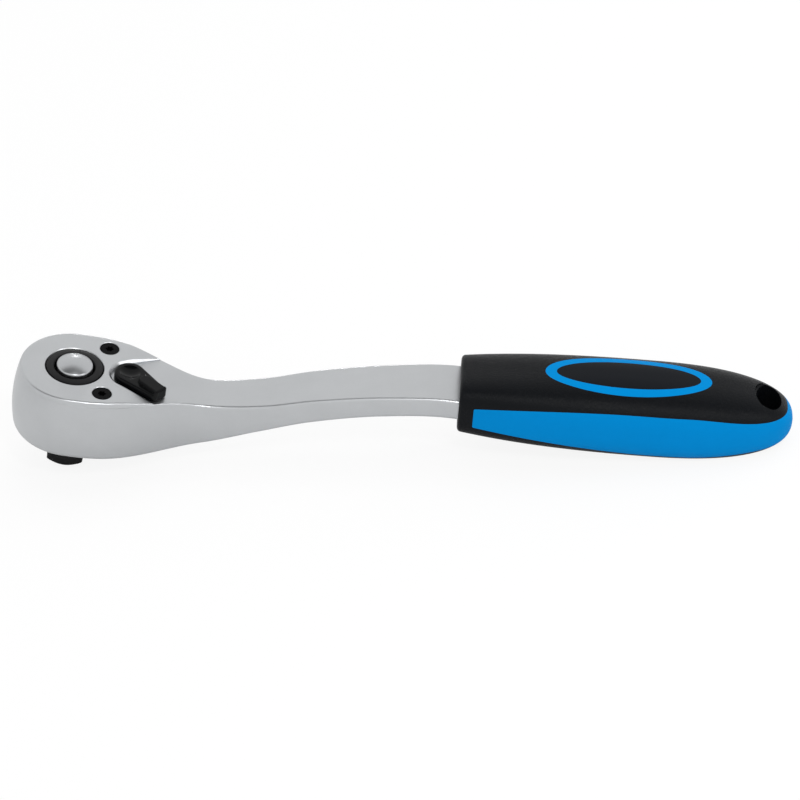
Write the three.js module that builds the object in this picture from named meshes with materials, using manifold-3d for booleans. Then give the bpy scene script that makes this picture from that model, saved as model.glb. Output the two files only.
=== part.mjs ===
// Reversible half-inch ratchet: a forged head and cranked shank, a gear with a quick-release
// square, a two-way pawl under a thumb lever, and a two-colour moulded grip on the tang.
// Millimetres. The origin is the centre of the square's tip face, +Z runs up the drive axis
// and the handle points along +X.
import * as THREE from 'three';
import { mergeVertices } from 'three/addons/utils/BufferGeometryUtils.js';
import Module from 'manifold-3d';

const wasm = await Module();
wasm.setup();

// Fits
const runningGap = 0.3;
const seatGap = 0.3;
const joinDepth = 1;

// Drive square and head
const driveSquare = 12.7;
const squareChamfer = 0.7;
const driveReach = 14.4;
const headRadius = 20.9;
const forgingDepth = 24;
const coverThickness = 2.0;
const coverEdgeRadius = 0.8;
const coverEarThickness = 0.4;
const coverEarStart = 17;
const coverEarEnd = 31;
const hiddenEdge = 0.05;
const headUnderRadius = 2.4;
const headBulge = 1.3;

// Cranked shank
const neckX = 54;
const pearPower = 2.8;
const pearFade = 4;
const neckHalfWidth = 8.5;
const shankEndHalfWidth = 10.75;
const shankEndThickness = 8.4;
const crankRise = 25.5;
const shankTopRadius = 1.1;
const shankUnderRadius = 1.5;

// Tang inside the grip
const tangHalfWidth = 8.4;
const tangThickness = 6.8;
const tangLength = 84;
const tangShoulder = 6;
const tangTipShare = 0.7;

// Gear and its square
const toothCount = 48;
const gearTipRadius = 12;
const toothDepth = 1;
const gearFaceWidth = 11.4;
const journalRadius = 9.3;
const underWall = 5.8;
const hubRadius = 10;
const hubProud = 0.25;
const hubChamfer = 0.5;

// Drag ring in the lower journal and washer under the cover
const dragRingWire = 0.75;
const washerThickness = 0.8;

// Lever, its stem and the pawl
const leverX = 19.5;
const leverRestAngle = -39;
const leverTaper = 10;
const leverDiscRadius = 5.5;
const leverLength = 15.4;
const leverTipHalfWidth = 3.5;
const leverDiscHeight = 2.7;
const leverTabHeight = 4.5;
const leverEdge = 0.6;
const leverPadStart = 5;
const leverPadLedge = 0.7;
const leverDishRadius = 9.5;
const leverDishDepth = 1.05;
const leverHubRadius = 4.4;
const leverHubDepth = 3.2;
const leverStemRadius = 3.4;
const leverPilotRadius = 2;
const leverPilotDepth = 2.4;
const pocketMargin = 1;
const webThickness = 5.4;
const clipThickness = 0.9;
const clipGrooveDepth = 0.8;
const clipWidth = 1.7;
const clipMouthAngle = 35;
const plungerRadius = 1.2;
const plungerLength = 2.6;
const leverSpringWire = 0.4;
const leverSpringTurns = 2.6;
const leverSpringPitch = 1.05;
const pawlSeatRadius = 4.8;
const pawlBackRadius = 16.3;
const pawlHalfSpan = 39;
const pawlToothStart = 19;
const pawlHeelAngle = 5;
const pawlRock = 6;
const pawlHeight = 10.6;
const chamberBackX = 25.5;

// Cover screws
const screwX = 11;
const screwY = 12.75;
const screwHeadRadius = 3.5;
const screwShankRadius = 1.75;
const screwLength = 6.8;
const screwDriveRadius = 1.25;
const screwDriveLobe = 0.16;
const screwDriveDepth = 1.4;

// Quick release
const buttonRadius = 6.9;
const buttonEdge = 0.9;
const buttonDome = 1.5;
const buttonProud = 1.0;
const buttonSkirt = 3.2;
const buttonTravel = 2.5;
const rodSocketDepth = 1.6;
const rodRadius = 2.6;
const tipWall = 0.7;
const ballRadius = 2.3;
const ballProud = 1.2;
const ballZ = 7.5;
const releaseSpringRadius = 3.9;
const releaseSpringWire = 0.8;
const releaseSpringLength = 7;
const releaseSpringTurns = 5;

// Grip
const gripFrontX = 134.8;
const gripLength = 117.5;
const gripTilt = 4.15;
const gripFrontHalfWidth = 13;
const gripFrontHalfHeight = 10;
const gripHalfWidth = 17.4;
const gripHalfHeight = 14.3;
const gripSwell = 62;
const gripTailLength = 52.5;
const gripTailPower = 2.55;
const gripTailClose = 0.41;
const gripArch = 1.1;
const gripFrontPower = 4;
const gripFullPower = 2.7;
const gripFrontRadius = 1.2;
const bandFront = 5.2;
const bandFrontTop = 3.9;
const bandFrontUnder = 4.2;
const bandTop = 8.1;
const bandTopEase = 1.9;
const bandUnder = 9.3;
const bandUnderEase = 1.15;
const bandGrowth = 58;
const bandTailDropTop = 2.4;
const bandTailDropUnder = 3.4;
const bandTailLength = 38;
const bandTailEnd = 5;
const bandCorner = 0.6;
const bandDepth = 2.2;
const ovalX = 58.4;
const ovalLength = 58.3;
const ovalWidth = 20.8;
const ovalRingLengthwise = 3.9;
const ovalRingCrosswise = 3.2;
const ovalDepth = 1.4;
const hangHoleFromTail = 9.4;
const hangHoleLength = 9;
const hangHoleWidth = 13.2;

// Levels that follow from the sizes above
const headBottom = driveReach;
const headTop = headBottom + forgingDepth;
const coverTop = headTop + coverThickness;
const boreFloor = headBottom + underWall;
const gearBottom = boreFloor + runningGap;
const gearTop = gearBottom + gearFaceWidth;
const boreRadius = gearTipRadius + runningGap;
const webBottom = headTop - webThickness;
const washerTop = headTop - seatGap;
const collarTop = washerTop - washerThickness - seatGap;
const hubTop = coverTop + hubProud;
const counterboreRadius = buttonRadius + runningGap;
const buttonEdgeTop = hubTop + buttonProud;
const skirtBottom = buttonEdgeTop - buttonSkirt;
const counterboreFloor = skirtBottom - buttonTravel - runningGap;
const springSeat = skirtBottom - seatGap - releaseSpringLength;
const springBoreRadius = releaseSpringRadius + releaseSpringWire / 2 + runningGap;
const springBoreFloor = springSeat - seatGap;
const leverBase = headTop + runningGap;
const pocketRadius = leverDiscRadius + pocketMargin;
const pocketAngle = -leverRestAngle - leverTaper;
const pawlBottom = boreFloor + runningGap;
const plungerZ = pawlBottom + pawlHeight / 2;
const gripFrontZ = headBottom + forgingDepth / 2 + crankRise;
const gripTailStart = gripLength - gripTailLength;
const hangHoleX = gripLength - hangHoleFromTail;

const degree = Math.PI / 180;
const roundSegments = 32;

// Materials
const steel = (color, roughness, metalness) =>
  new THREE.MeshStandardMaterial({ color, roughness, metalness });
const satinChrome = () => steel(0xb8bbbb, 0.38, 0.9);
const blackOxide = () => steel(0x262626, 0.45, 0.7);
const springSteel = () => steel(0x9a9c9e, 0.3, 0.95);
const blackGrip = () => steel(0x202224, 0.7, 0);
const blueGrip = () => steel(0x0585d0, 0.5, 0);
const rubber = () => steel(0x181818, 0.8, 0);

// Closed solid from any geometry: positions only, shared corners merged, faces turned outwards
function solidOf(geometry) {
  const bare = new THREE.BufferGeometry();
  bare.setAttribute('position', geometry.getAttribute('position').clone());
  if (geometry.index) bare.setIndex(geometry.index.clone());
  const merged = mergeVertices(bare, 1e-4);
  const spots = merged.getAttribute('position').array;
  const corners = merged.index.array;
  const kept = [];
  let volume = 0;
  const [a, b, c] = [new THREE.Vector3(), new THREE.Vector3(), new THREE.Vector3()];
  for (let i = 0; i < corners.length; i += 3) {
    const [p, q, r] = corners.slice(i, i + 3);
    if (p === q || q === r || r === p) continue;
    kept.push(p, q, r);
    a.fromArray(spots, 3 * p);
    b.fromArray(spots, 3 * q);
    c.fromArray(spots, 3 * r);
    volume += a.dot(b.cross(c));
  }
  if (volume < 0) kept.reverse();
  return new wasm.Manifold(new wasm.Mesh({
    numProp: 3,
    vertProperties: new Float32Array(spots),
    triVerts: new Uint32Array(kept),
  }));
}

// Mesh of a solid, in its own node
const ratchet = new THREE.Group();
function addPiece(name, solid, material) {
  const { vertProperties, triVerts } = solid.getMesh();
  const geometry = new THREE.BufferGeometry();
  geometry.setAttribute('position', new THREE.BufferAttribute(new Float32Array(vertProperties), 3));
  geometry.setIndex(new THREE.BufferAttribute(new Uint32Array(triVerts), 1));
  geometry.computeVertexNormals();
  const mesh = new THREE.Mesh(geometry, material);
  mesh.name = name;
  ratchet.add(mesh);
}

// Turned piece about the drive axis from [radius, height] corners, moved to x along X
function turned(profile, x = 0, segments = roundSegments) {
  const points = profile.map(([radius, height]) => new THREE.Vector2(radius, height));
  return solidOf(new THREE.LatheGeometry(points, segments).rotateX(Math.PI / 2).translate(x, 0, 0));
}
const cylinder = (radius, low, high, x = 0, y = 0, segments = roundSegments) =>
  turned([[0, low], [radius, low], [radius, high], [0, high]], x, segments).translate([0, y, 0]);

// Plan outline carried straight up from one level to another
const prism = (shape, low, high, curveSegments = 12) =>
  solidOf(new THREE.ExtrudeGeometry(shape, { depth: high - low, bevelEnabled: false, curveSegments })
    .translate(0, 0, low));

// Skin through rings of equal point count; a ring that has shrunk onto itself closes its own end
function loft(rings) {
  const count = rings[0].length;
  const positions = rings.flat(2);
  const index = [];
  for (let k = 0; k + 1 < rings.length; k += 1) {
    for (let i = 0; i < count; i += 1) {
      const near = k * count + i;
      const beside = k * count + ((i + 1) % count);
      index.push(near, beside, beside + count, near, beside + count, near + count);
    }
  }
  for (const [first, flip] of [[0, true], [(rings.length - 1) * count, false]]) {
    for (let i = 1; i + 1 < count; i += 1) {
      const fan = [first, first + i, first + i + 1];
      index.push(...(flip ? fan.reverse() : fan));
    }
  }
  const geometry = new THREE.BufferGeometry();
  geometry.setAttribute('position', new THREE.Float32BufferAttribute(positions, 3));
  geometry.setIndex(index);
  return solidOf(geometry);
}

// Smooth curve through [position, value] stations, level at both ends
function smoothThrough(stations) {
  const slope = (i) => {
    if (i === 0 || i === stations.length - 1) return 0;
    const [before, after] = [stations[i - 1], stations[i + 1]];
    return (after[1] - before[1]) / (after[0] - before[0]);
  };
  return (x) => {
    const clamped = Math.min(Math.max(x, stations[0][0]), stations[stations.length - 1][0]);
    let i = 0;
    while (i + 2 < stations.length && clamped > stations[i + 1][0]) i += 1;
    const [[x0, y0], [x1, y1]] = [stations[i], stations[i + 1]];
    const span = x1 - x0;
    const t = (clamped - x0) / span;
    const rise = y1 - y0;
    const [m0, m1] = [slope(i) * span, slope(i + 1) * span];
    return y0 + m0 * t + (3 * rise - 2 * m0 - m1) * t ** 2 + (m0 + m1 - 2 * rise) * t ** 3;
  };
}

// Forging: plan half-width, centre height and thickness along X, up to the grip's front
const crankShape = smoothThrough([[0, 0], [0.2, 0.009], [0.353, 0.074], [0.495, 0.316], [0.626, 0.586],
  [0.807, 0.854], [1, 1]]);
const thinShape = smoothThrough([[0, 1], [0.2, 0.97], [0.262, 0.872], [0.353, 0.58], [0.495, 0.235],
  [0.626, 0.11], [0.807, 0.027], [1, 0]]);
const along = (x) => Math.max(x, 0) / gripFrontX;
const centreHeight = (x) => headBottom + forgingDepth / 2 + crankRise * crankShape(along(x));
const thickness = (x) => shankEndThickness + (forgingDepth - shankEndThickness) * thinShape(along(x));
function halfWidth(x) {
  const t = Math.max(x, 0) / neckX;
  if (t < 1) return neckHalfWidth + (headRadius - neckHalfWidth) * (1 - t ** pearPower) ** pearFade;
  return neckHalfWidth + (shankEndHalfWidth - neckHalfWidth) * ((x - neckX) / (gripFrontX - neckX));
}

// How far the barrelled side lies inside its widest line at a height, at station x
function bulgeInset(x, z) {
  const half = thickness(x) / 2;
  const fade = (thickness(x) / forgingDepth) ** 2;
  return headBulge * fade * ((z - centreHeight(x)) / half) ** 2;
}

// Side profile as [inset, height] from under edge to top edge, with rounded corners
function sideProfile(x, low, high, underRadius, topRadius) {
  const cornerSteps = 3;
  const wallSteps = 3;
  const profile = [];
  for (let i = 0; i <= cornerSteps; i += 1) {
    const turn = (i / cornerSteps) * 90 * degree;
    profile.push([underRadius * (1 - Math.sin(turn)), low + underRadius * (1 - Math.cos(turn))]);
  }
  for (let i = 1; i < wallSteps; i += 1) {
    profile.push([0, low + underRadius + (high - topRadius - low - underRadius) * (i / wallSteps)]);
  }
  for (let i = 0; i <= cornerSteps; i += 1) {
    const turn = (i / cornerSteps) * 90 * degree;
    profile.push([topRadius * (1 - Math.cos(turn)), high - topRadius * (1 - Math.sin(turn))]);
  }
  return profile.map(([inset, z]) => [inset + bulgeInset(x, z), z]);
}

// Closed ring at station x; the nose turns the same profile about the drive axis
function forgingRing(x, low, high, underRadius, topRadius, noseAngle = null) {
  const profile = sideProfile(x, low, high, underRadius, topRadius);
  const width = halfWidth(x);
  const spot = (inset, z, side) => {
    const reach = width - inset;
    if (noseAngle === null) return [x, side * reach, z];
    return [-reach * Math.sin(noseAngle), side * reach * Math.cos(noseAngle), z];
  };
  const near = profile.map(([inset, z]) => spot(inset, z, -1));
  const far = profile.map(([inset, z]) => spot(inset, z, 1)).reverse();
  const centreX = noseAngle === null ? x : 0;
  return [[centreX, 0, low], ...near, [centreX, 0, high], ...far];
}
const noseSteps = 10;
const noseAngles = Array.from({ length: noseSteps }, (_, i) => (1 - i / noseSteps) * 90 * degree);
const spread = (from, to, steps) =>
  Array.from({ length: steps + 1 }, (_, i) => from + ((to - from) * i) / steps);

// The forged head's top corner is sharp under its cover and rounded along the shank
function shankRing(x) {
  const half = thickness(x) / 2;
  const beyond = THREE.MathUtils.smoothstep(x, leverX, neckX);
  const topRadius = THREE.MathUtils.lerp(hiddenEdge, shankTopRadius, beyond);
  const underRadius = THREE.MathUtils.lerp(headUnderRadius, shankUnderRadius, beyond);
  return forgingRing(x, centreHeight(x) - half, centreHeight(x) + half, underRadius, topRadius);
}

// Grip axis: it leaves the collar at the shank's end height and climbs at the grip's tilt
const gripAxisZ = (x) => gripFrontZ + (x - gripFrontX) * Math.tan(gripTilt * degree);

// Tang rings, grown all round by a margin, with the shank's full section as a short root
function tangRing(x, halfSpan, thick, margin) {
  const [w, h] = [halfSpan + margin, thick / 2 + margin];
  const corner = Math.min(shankTopRadius, h / 2);
  const z = gripAxisZ(x);
  const profile = sideProfile(gripFrontX, z - h, z + h, corner, corner);
  const near = profile.map(([inset, level]) => [x, -(w - Math.max(inset, 0)), level]);
  const far = profile.map(([inset, level]) => [x, w - Math.max(inset, 0), level]).reverse();
  return [[x, 0, z - h], ...near, [x, 0, z + h], ...far];
}
function tangRings(margin) {
  const root = gripFrontX + tangShoulder;
  const tip = gripFrontX + tangLength;
  return [
    tangRing(root, tangHalfWidth, tangThickness, margin),
    tangRing(tip - tangThickness, tangHalfWidth, tangThickness, margin),
    tangRing(tip + margin, tangHalfWidth * tangTipShare, tangThickness * tangTipShare, margin),
  ];
}

// Pocket round the lever in the cover: a round seat whose two sides run out at the lever's stops
function pocketShape() {
  const reach = headRadius * 2;
  const tangent = (90 + pocketAngle) * degree;
  const endX = leverX + pocketRadius * Math.cos(tangent) + reach * Math.sin(tangent);
  const endY = pocketRadius * Math.sin(tangent) - reach * Math.cos(tangent);
  const shape = new THREE.Shape();
  shape.absarc(leverX, 0, pocketRadius, tangent, 2 * Math.PI - tangent, false);
  shape.lineTo(endX, -endY);
  shape.lineTo(endX, endY);
  shape.closePath();
  return shape;
}

// Chamber for the pawl below the web, round the lever's axis with a flat back wall
function chamberShape() {
  const wing = new THREE.Vector2(Math.cos(pawlHalfSpan * degree), Math.sin(pawlHalfSpan * degree));
  const swing = wing.multiplyScalar(gearTipRadius + toothDepth).distanceTo(new THREE.Vector2(leverX, 0));
  const radius = swing + 2 * runningGap;
  const chord = Math.acos((chamberBackX - leverX) / radius);
  const shape = new THREE.Shape();
  shape.absarc(leverX, 0, radius, chord, 2 * Math.PI - chord, false);
  shape.closePath();
  return shape;
}

// Body: head, cranked shank and tang in one forging, bored for the gear, pawl and lever
function makeBody() {
  const rings = noseAngles.map((angle) =>
    forgingRing(0, headBottom, headTop, headUnderRadius, hiddenEdge, angle));
  for (const x of spread(0, neckX, 12)) rings.push(shankRing(x));
  for (const x of spread(neckX, gripFrontX, 12).slice(1)) rings.push(shankRing(x));
  const root = shankRing(gripFrontX).map(([x, y, z]) => [x + tangShoulder / 2, y, z]);
  rings.push(root, ...tangRings(0));
  let body = loft(rings);
  const above = headTop + coverThickness;
  body = body.subtract(cylinder(journalRadius + runningGap, 0, above));
  body = body.subtract(cylinder(boreRadius, boreFloor, above));
  body = body.subtract(prism(chamberShape(), boreFloor, webBottom));
  body = body.subtract(cylinder(leverStemRadius + runningGap, boreFloor, above, leverX));
  body = body.subtract(cylinder(leverHubRadius + runningGap, headTop - leverHubDepth, above, leverX));
  body = body.subtract(cylinder(leverPilotRadius + runningGap, boreFloor - leverPilotDepth - runningGap,
    above, leverX));
  for (const side of [-1, 1]) {
    const depth = coverTop - screwLength - runningGap;
    body = body.subtract(cylinder(screwShankRadius + runningGap, depth, above, screwX, side * screwY, 20));
  }
  addPiece('body', body, satinChrome());
}

// Cover top at station x: level over the hub, then falling along the ears to the shank
function coverTopAt(x) {
  const fall = THREE.MathUtils.smoothstep(x, coverEarStart, coverEarEnd);
  return coverTop - (coverThickness - coverEarThickness) * fall;
}

// Cover plate: the head's outline carried up, with the hub hole, countersinks and lever pocket
function makeCover() {
  const rings = noseAngles.map((angle) =>
    forgingRing(0, headTop, coverTop, hiddenEdge, coverEdgeRadius, angle));
  for (const x of spread(0, coverEarEnd, 14)) {
    const top = coverTopAt(x);
    const edge = Math.min(coverEdgeRadius, (top - headTop) / 2);
    rings.push(forgingRing(x, headTop, top, hiddenEdge, edge));
  }
  let cover = loft(rings);
  cover = cover.subtract(cylinder(hubRadius + runningGap, headBottom, hubTop));
  cover = cover.subtract(prism(pocketShape(), headBottom, hubTop));
  for (const side of [-1, 1]) {
    const hole = turned(screwProfile(runningGap), screwX, 20).translate([0, side * screwY, 0]);
    cover = cover.subtract(hole);
  }
  addPiece('cover_plate', cover, satinChrome());
}

// Countersunk screw outline as [radius, height]; a margin grows it into its hole
function screwProfile(margin) {
  const head = screwHeadRadius + margin;
  const shank = screwShankRadius + margin;
  const top = coverTop + margin;
  return [[0, coverTop - screwLength - margin], [shank, coverTop - screwLength - margin],
    [shank, top - (head - shank)], [head, top], [0, top]];
}

// Six-lobed key recess seen from above
function lobedRecess(x, y) {
  const shape = new THREE.Shape();
  const steps = 36;
  for (let i = 0; i < steps; i += 1) {
    const turn = (i / steps) * 2 * Math.PI;
    const radius = screwDriveRadius * (1 + screwDriveLobe * Math.cos(6 * turn));
    const corner = [x + radius * Math.cos(turn), y + radius * Math.sin(turn)];
    if (i === 0) shape.moveTo(...corner);
    else shape.lineTo(...corner);
  }
  shape.closePath();
  return prism(shape, coverTop - screwDriveDepth, coverTop + coverThickness);
}
function makeScrew(name, side) {
  const blank = turned(screwProfile(0), screwX, 20).translate([0, side * screwY, 0]);
  addPiece(name, blank.subtract(lobedRecess(screwX, side * screwY)), blackOxide());
}

// Saw-edge outline of the gear, its valleys and tips grown outwards by a margin
function toothedShape(margin) {
  const shape = new THREE.Shape();
  for (let i = 0; i < 2 * toothCount; i += 1) {
    const radius = gearTipRadius - (i % 2) * toothDepth + margin;
    const turn = (i / toothCount) * Math.PI;
    const corner = [radius * Math.cos(turn), radius * Math.sin(turn)];
    if (i === 0) shape.moveTo(...corner);
    else shape.lineTo(...corner);
  }
  shape.closePath();
  return shape;
}

// Drive gear: square, journal, toothed rim, plain collar and hub on one axis, bored for the release
function makeGear() {
  const half = driveSquare / 2;
  const flat = half - squareChamfer;
  const section = new THREE.Shape([[half, -flat], [half, flat], [flat, half], [-flat, half],
    [-half, flat], [-half, -flat], [-flat, -half], [flat, -half]].map(([x, y]) => new THREE.Vector2(x, y)));
  const sharpCorner = Math.hypot(half, half);
  const squareTop = headBottom + joinDepth;
  const lead = turned([[0, 0], [half + squareChamfer, 0], [sharpCorner, 3 * squareChamfer],
    [sharpCorner, squareTop], [0, squareTop]], 0, 32);
  const square = prism(section, 0, squareTop).intersect(lead);
  const grooveRadius = journalRadius - 2 * dragRingWire - seatGap;
  const grooveZ = (headBottom + boreFloor) / 2;
  const grooveHalf = dragRingWire + seatGap;
  const rootRadius = gearTipRadius - toothDepth;
  let gear = turned([[0, headBottom], [journalRadius, headBottom], [journalRadius, grooveZ - grooveHalf],
    [grooveRadius, grooveZ - grooveHalf], [grooveRadius, grooveZ + grooveHalf],
    [journalRadius, grooveZ + grooveHalf], [journalRadius, gearBottom], [rootRadius, gearBottom],
    [rootRadius, gearTop], [gearTipRadius, gearTop], [gearTipRadius, collarTop], [hubRadius, collarTop],
    [hubRadius, hubTop - hubChamfer], [hubRadius - hubChamfer, hubTop], [0, hubTop]]);
  gear = gear.add(square).add(prism(toothedShape(0), gearBottom, gearTop + runningGap));
  const above = hubTop + buttonProud;
  gear = gear.subtract(cylinder(counterboreRadius, counterboreFloor, above));
  gear = gear.subtract(cylinder(springBoreRadius, springBoreFloor, above));
  gear = gear.subtract(cylinder(rodRadius + runningGap, tipWall, above, 0, 0, 24));
  const ballHole = new THREE.CylinderGeometry(ballRadius + runningGap, ballRadius + runningGap,
    driveSquare, 24).rotateZ(Math.PI / 2).translate(half, 0, ballZ);
  addPiece('drive_gear', gear.subtract(solidOf(ballHole)), blackOxide());
  const ringMid = journalRadius - dragRingWire;
  const ring = new THREE.TorusGeometry(ringMid, dragRingWire, 6, roundSegments).translate(0, 0, grooveZ);
  addPiece('drag_ring', solidOf(ring), rubber());
  const washer = turned([[hubRadius + runningGap, washerTop - washerThickness],
    [gearTipRadius, washerTop - washerThickness], [gearTipRadius, washerTop],
    [hubRadius + runningGap, washerTop], [hubRadius + runningGap, washerTop - washerThickness]]);
  addPiece('thrust_washer', washer, springSteel());
}

// Pawl: a crescent between gear and lever stem, toothed on both wings, scalloped for the plunger.
// It is cut by the gear at both ends of its rock, then turned to the end that the lever holds.
function makePawl() {
  const meetX = (pawlBackRadius ** 2 - pawlSeatRadius ** 2 + leverX ** 2) / (2 * leverX);
  const meetY = Math.sqrt(pawlBackRadius ** 2 - meetX ** 2);
  const backStart = Math.atan2(meetY, meetX);
  const scallop = Math.atan2(meetY, leverX - meetX);
  const wingEnd = pawlHalfSpan * degree;
  const backEnd = (pawlHalfSpan - pawlHeelAngle) * degree;
  const inner = gearTipRadius - toothDepth;
  const outer = gearTipRadius + toothDepth;
  const shape = new THREE.Shape();
  shape.moveTo(inner * Math.cos(wingEnd), -inner * Math.sin(wingEnd));
  shape.lineTo(outer * Math.cos(wingEnd), -outer * Math.sin(wingEnd));
  shape.absarc(0, 0, pawlBackRadius, -backEnd, -backStart, false);
  shape.absarc(leverX, 0, pawlSeatRadius, Math.PI + scallop, Math.PI - scallop, true);
  shape.absarc(0, 0, pawlBackRadius, backStart, backEnd, false);
  shape.lineTo(outer * Math.cos(wingEnd), outer * Math.sin(wingEnd));
  shape.lineTo(inner * Math.cos(wingEnd), inner * Math.sin(wingEnd));
  shape.absarc(0, 0, inner, wingEnd, -wingEnd, true);
  let pawl = prism(shape, pawlBottom, pawlBottom + pawlHeight, 10);
  const aboutLever = (solid, angle) =>
    solid.translate([-leverX, 0, 0]).rotate([0, 0, angle]).translate([leverX, 0, 0]);
  const flankAngle = Math.atan2((Math.PI * gearTipRadius) / toothCount, toothDepth);
  const meshMargin = runningGap / Math.sin(flankAngle);
  const meshing = prism(toothedShape(meshMargin), headBottom, headTop);
  for (const side of [-1, 1]) pawl = pawl.subtract(aboutLever(meshing, (side * pawlRock) / 2));
  const relief = new THREE.Shape();
  const reliefHalf = pawlToothStart * degree;
  relief.absarc(0, 0, gearTipRadius + 2 * runningGap, -reliefHalf, reliefHalf, false);
  relief.lineTo(0, 0);
  relief.closePath();
  pawl = pawl.subtract(prism(relief, headBottom, headTop, 8));
  addPiece('pawl', aboutLever(pawl, pawlRock / 2), blackOxide());
}

// Pear outline of the thumb lever along +X, drawn round its axis and shrunk by a margin
function leverShape(margin) {
  const radius = leverDiscRadius - margin;
  const half = leverTipHalfWidth - margin;
  const tip = leverLength - margin;
  const corner = half / 2;
  const lean = (90 - leverTaper) * degree;
  const shape = new THREE.Shape();
  shape.absarc(0, 0, radius, lean, 2 * Math.PI - lean, false);
  shape.lineTo(tip - corner, -half);
  shape.quadraticCurveTo(tip, -half, tip, -half + corner);
  shape.lineTo(tip, half - corner);
  shape.quadraticCurveTo(tip, half, tip - corner, half);
  shape.closePath();
  return shape;
}

// Raised pad on the tab: a tongue with a round end towards the disc, shrunk by a margin
function padShape(margin) {
  const half = leverTipHalfWidth - leverPadLedge - margin;
  const tip = leverLength - leverEdge / 2 - margin;
  const corner = half / 2;
  const shape = new THREE.Shape();
  shape.absarc(leverPadStart + half, 0, half, 90 * degree, 270 * degree, false);
  shape.lineTo(tip - corner, -half);
  shape.quadraticCurveTo(tip, -half, tip, -half + corner);
  shape.lineTo(tip, half - corner);
  shape.quadraticCurveTo(tip, half, tip - corner, half);
  shape.closePath();
  return shape;
}

// Lever: pear-shaped thumb piece with a dished disc and a raised pad, hub, stem and lower pilot
function makeLever() {
  const discTop = leverBase + leverDiscHeight;
  const tabTop = headTop + leverTabHeight;
  const stepped = (shape, top) =>
    prism(shape(0), leverBase, top - leverEdge, 6).add(prism(shape(leverEdge / 2), leverBase, top, 6));
  const dish = new THREE.SphereGeometry(leverDishRadius, 24, 16)
    .translate(0, 0, discTop + leverDishRadius - leverDishDepth);
  const thumb = stepped(leverShape, discTop).subtract(solidOf(dish)).add(stepped(padShape, tabTop));
  const pilotEnd = boreFloor - leverPilotDepth;
  const turnedStem = turned([[0, pilotEnd], [leverPilotRadius, pilotEnd],
    [leverPilotRadius, pawlBottom], [leverStemRadius, pawlBottom],
    [leverStemRadius, clipZ() - clipThickness / 2 - seatGap],
    [leverStemRadius - clipGrooveDepth, clipZ() - clipThickness / 2 - seatGap],
    [leverStemRadius - clipGrooveDepth, clipZ() + clipThickness / 2 + seatGap],
    [leverStemRadius, clipZ() + clipThickness / 2 + seatGap],
    [leverStemRadius, headTop - leverHubDepth + seatGap],
    [leverHubRadius, headTop - leverHubDepth + seatGap], [leverHubRadius, leverBase + leverEdge],
    [0, leverBase + leverEdge]], 0, 28);
  const bore = alongPlunger(plungerRadius + runningGap, plungerBoreEnd(), leverStemRadius + joinDepth);
  const lever = thumb.add(turnedStem).subtract(bore);
  addPiece('reversing_lever', onLever(lever), steel(0x191b1c, 0.3, 0.2));
}
const clipZ = () => webBottom - seatGap - clipThickness / 2;
const onLever = (solid) => solid.rotate([0, 0, leverRestAngle]).translate([leverX, 0, 0]);

// The plunger looks away from the tab, so it and its spring lie along the lever's -X
const plungerTip = pawlSeatRadius - runningGap;
const plungerBack = plungerTip - plungerLength;
const leverSpringLength = leverSpringTurns * leverSpringPitch;
const plungerBoreEnd = () => plungerBack - 2 * seatGap - leverSpringLength - leverSpringWire;
function alongPlunger(radius, from, to) {
  const shape = new THREE.CylinderGeometry(radius, radius, to - from, 20).rotateZ(Math.PI / 2);
  return solidOf(shape.translate(-(from + to) / 2, 0, plungerZ));
}
function makePlunger() {
  const profile = [[0, 0], [plungerRadius, 0], [plungerRadius, plungerLength - plungerRadius]];
  for (const turn of [30, 60, 90]) {
    profile.push([plungerRadius * Math.cos(turn * degree),
      plungerLength - plungerRadius * (1 - Math.sin(turn * degree))]);
  }
  profile[profile.length - 1][0] = 0;
  const points = profile.map(([radius, height]) => new THREE.Vector2(radius, height));
  const geometry = new THREE.LatheGeometry(points, 16).rotateZ(Math.PI / 2);
  addPiece('lever_plunger', onLever(solidOf(geometry.translate(-plungerBack, 0, plungerZ))), springSteel());
}

// Clip: an open ring in the stem's groove, under the web
function makeClip() {
  const inner = leverStemRadius - clipGrooveDepth + seatGap;
  const mouth = clipMouthAngle * degree;
  const shape = new THREE.Shape();
  shape.absarc(0, 0, inner + clipWidth, mouth, 2 * Math.PI - mouth, false);
  shape.absarc(0, 0, inner, 2 * Math.PI - mouth, mouth, true);
  shape.closePath();
  const low = clipZ() - clipThickness / 2;
  addPiece('lever_clip', onLever(prism(shape, low, low + clipThickness)), springSteel());
}

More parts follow.
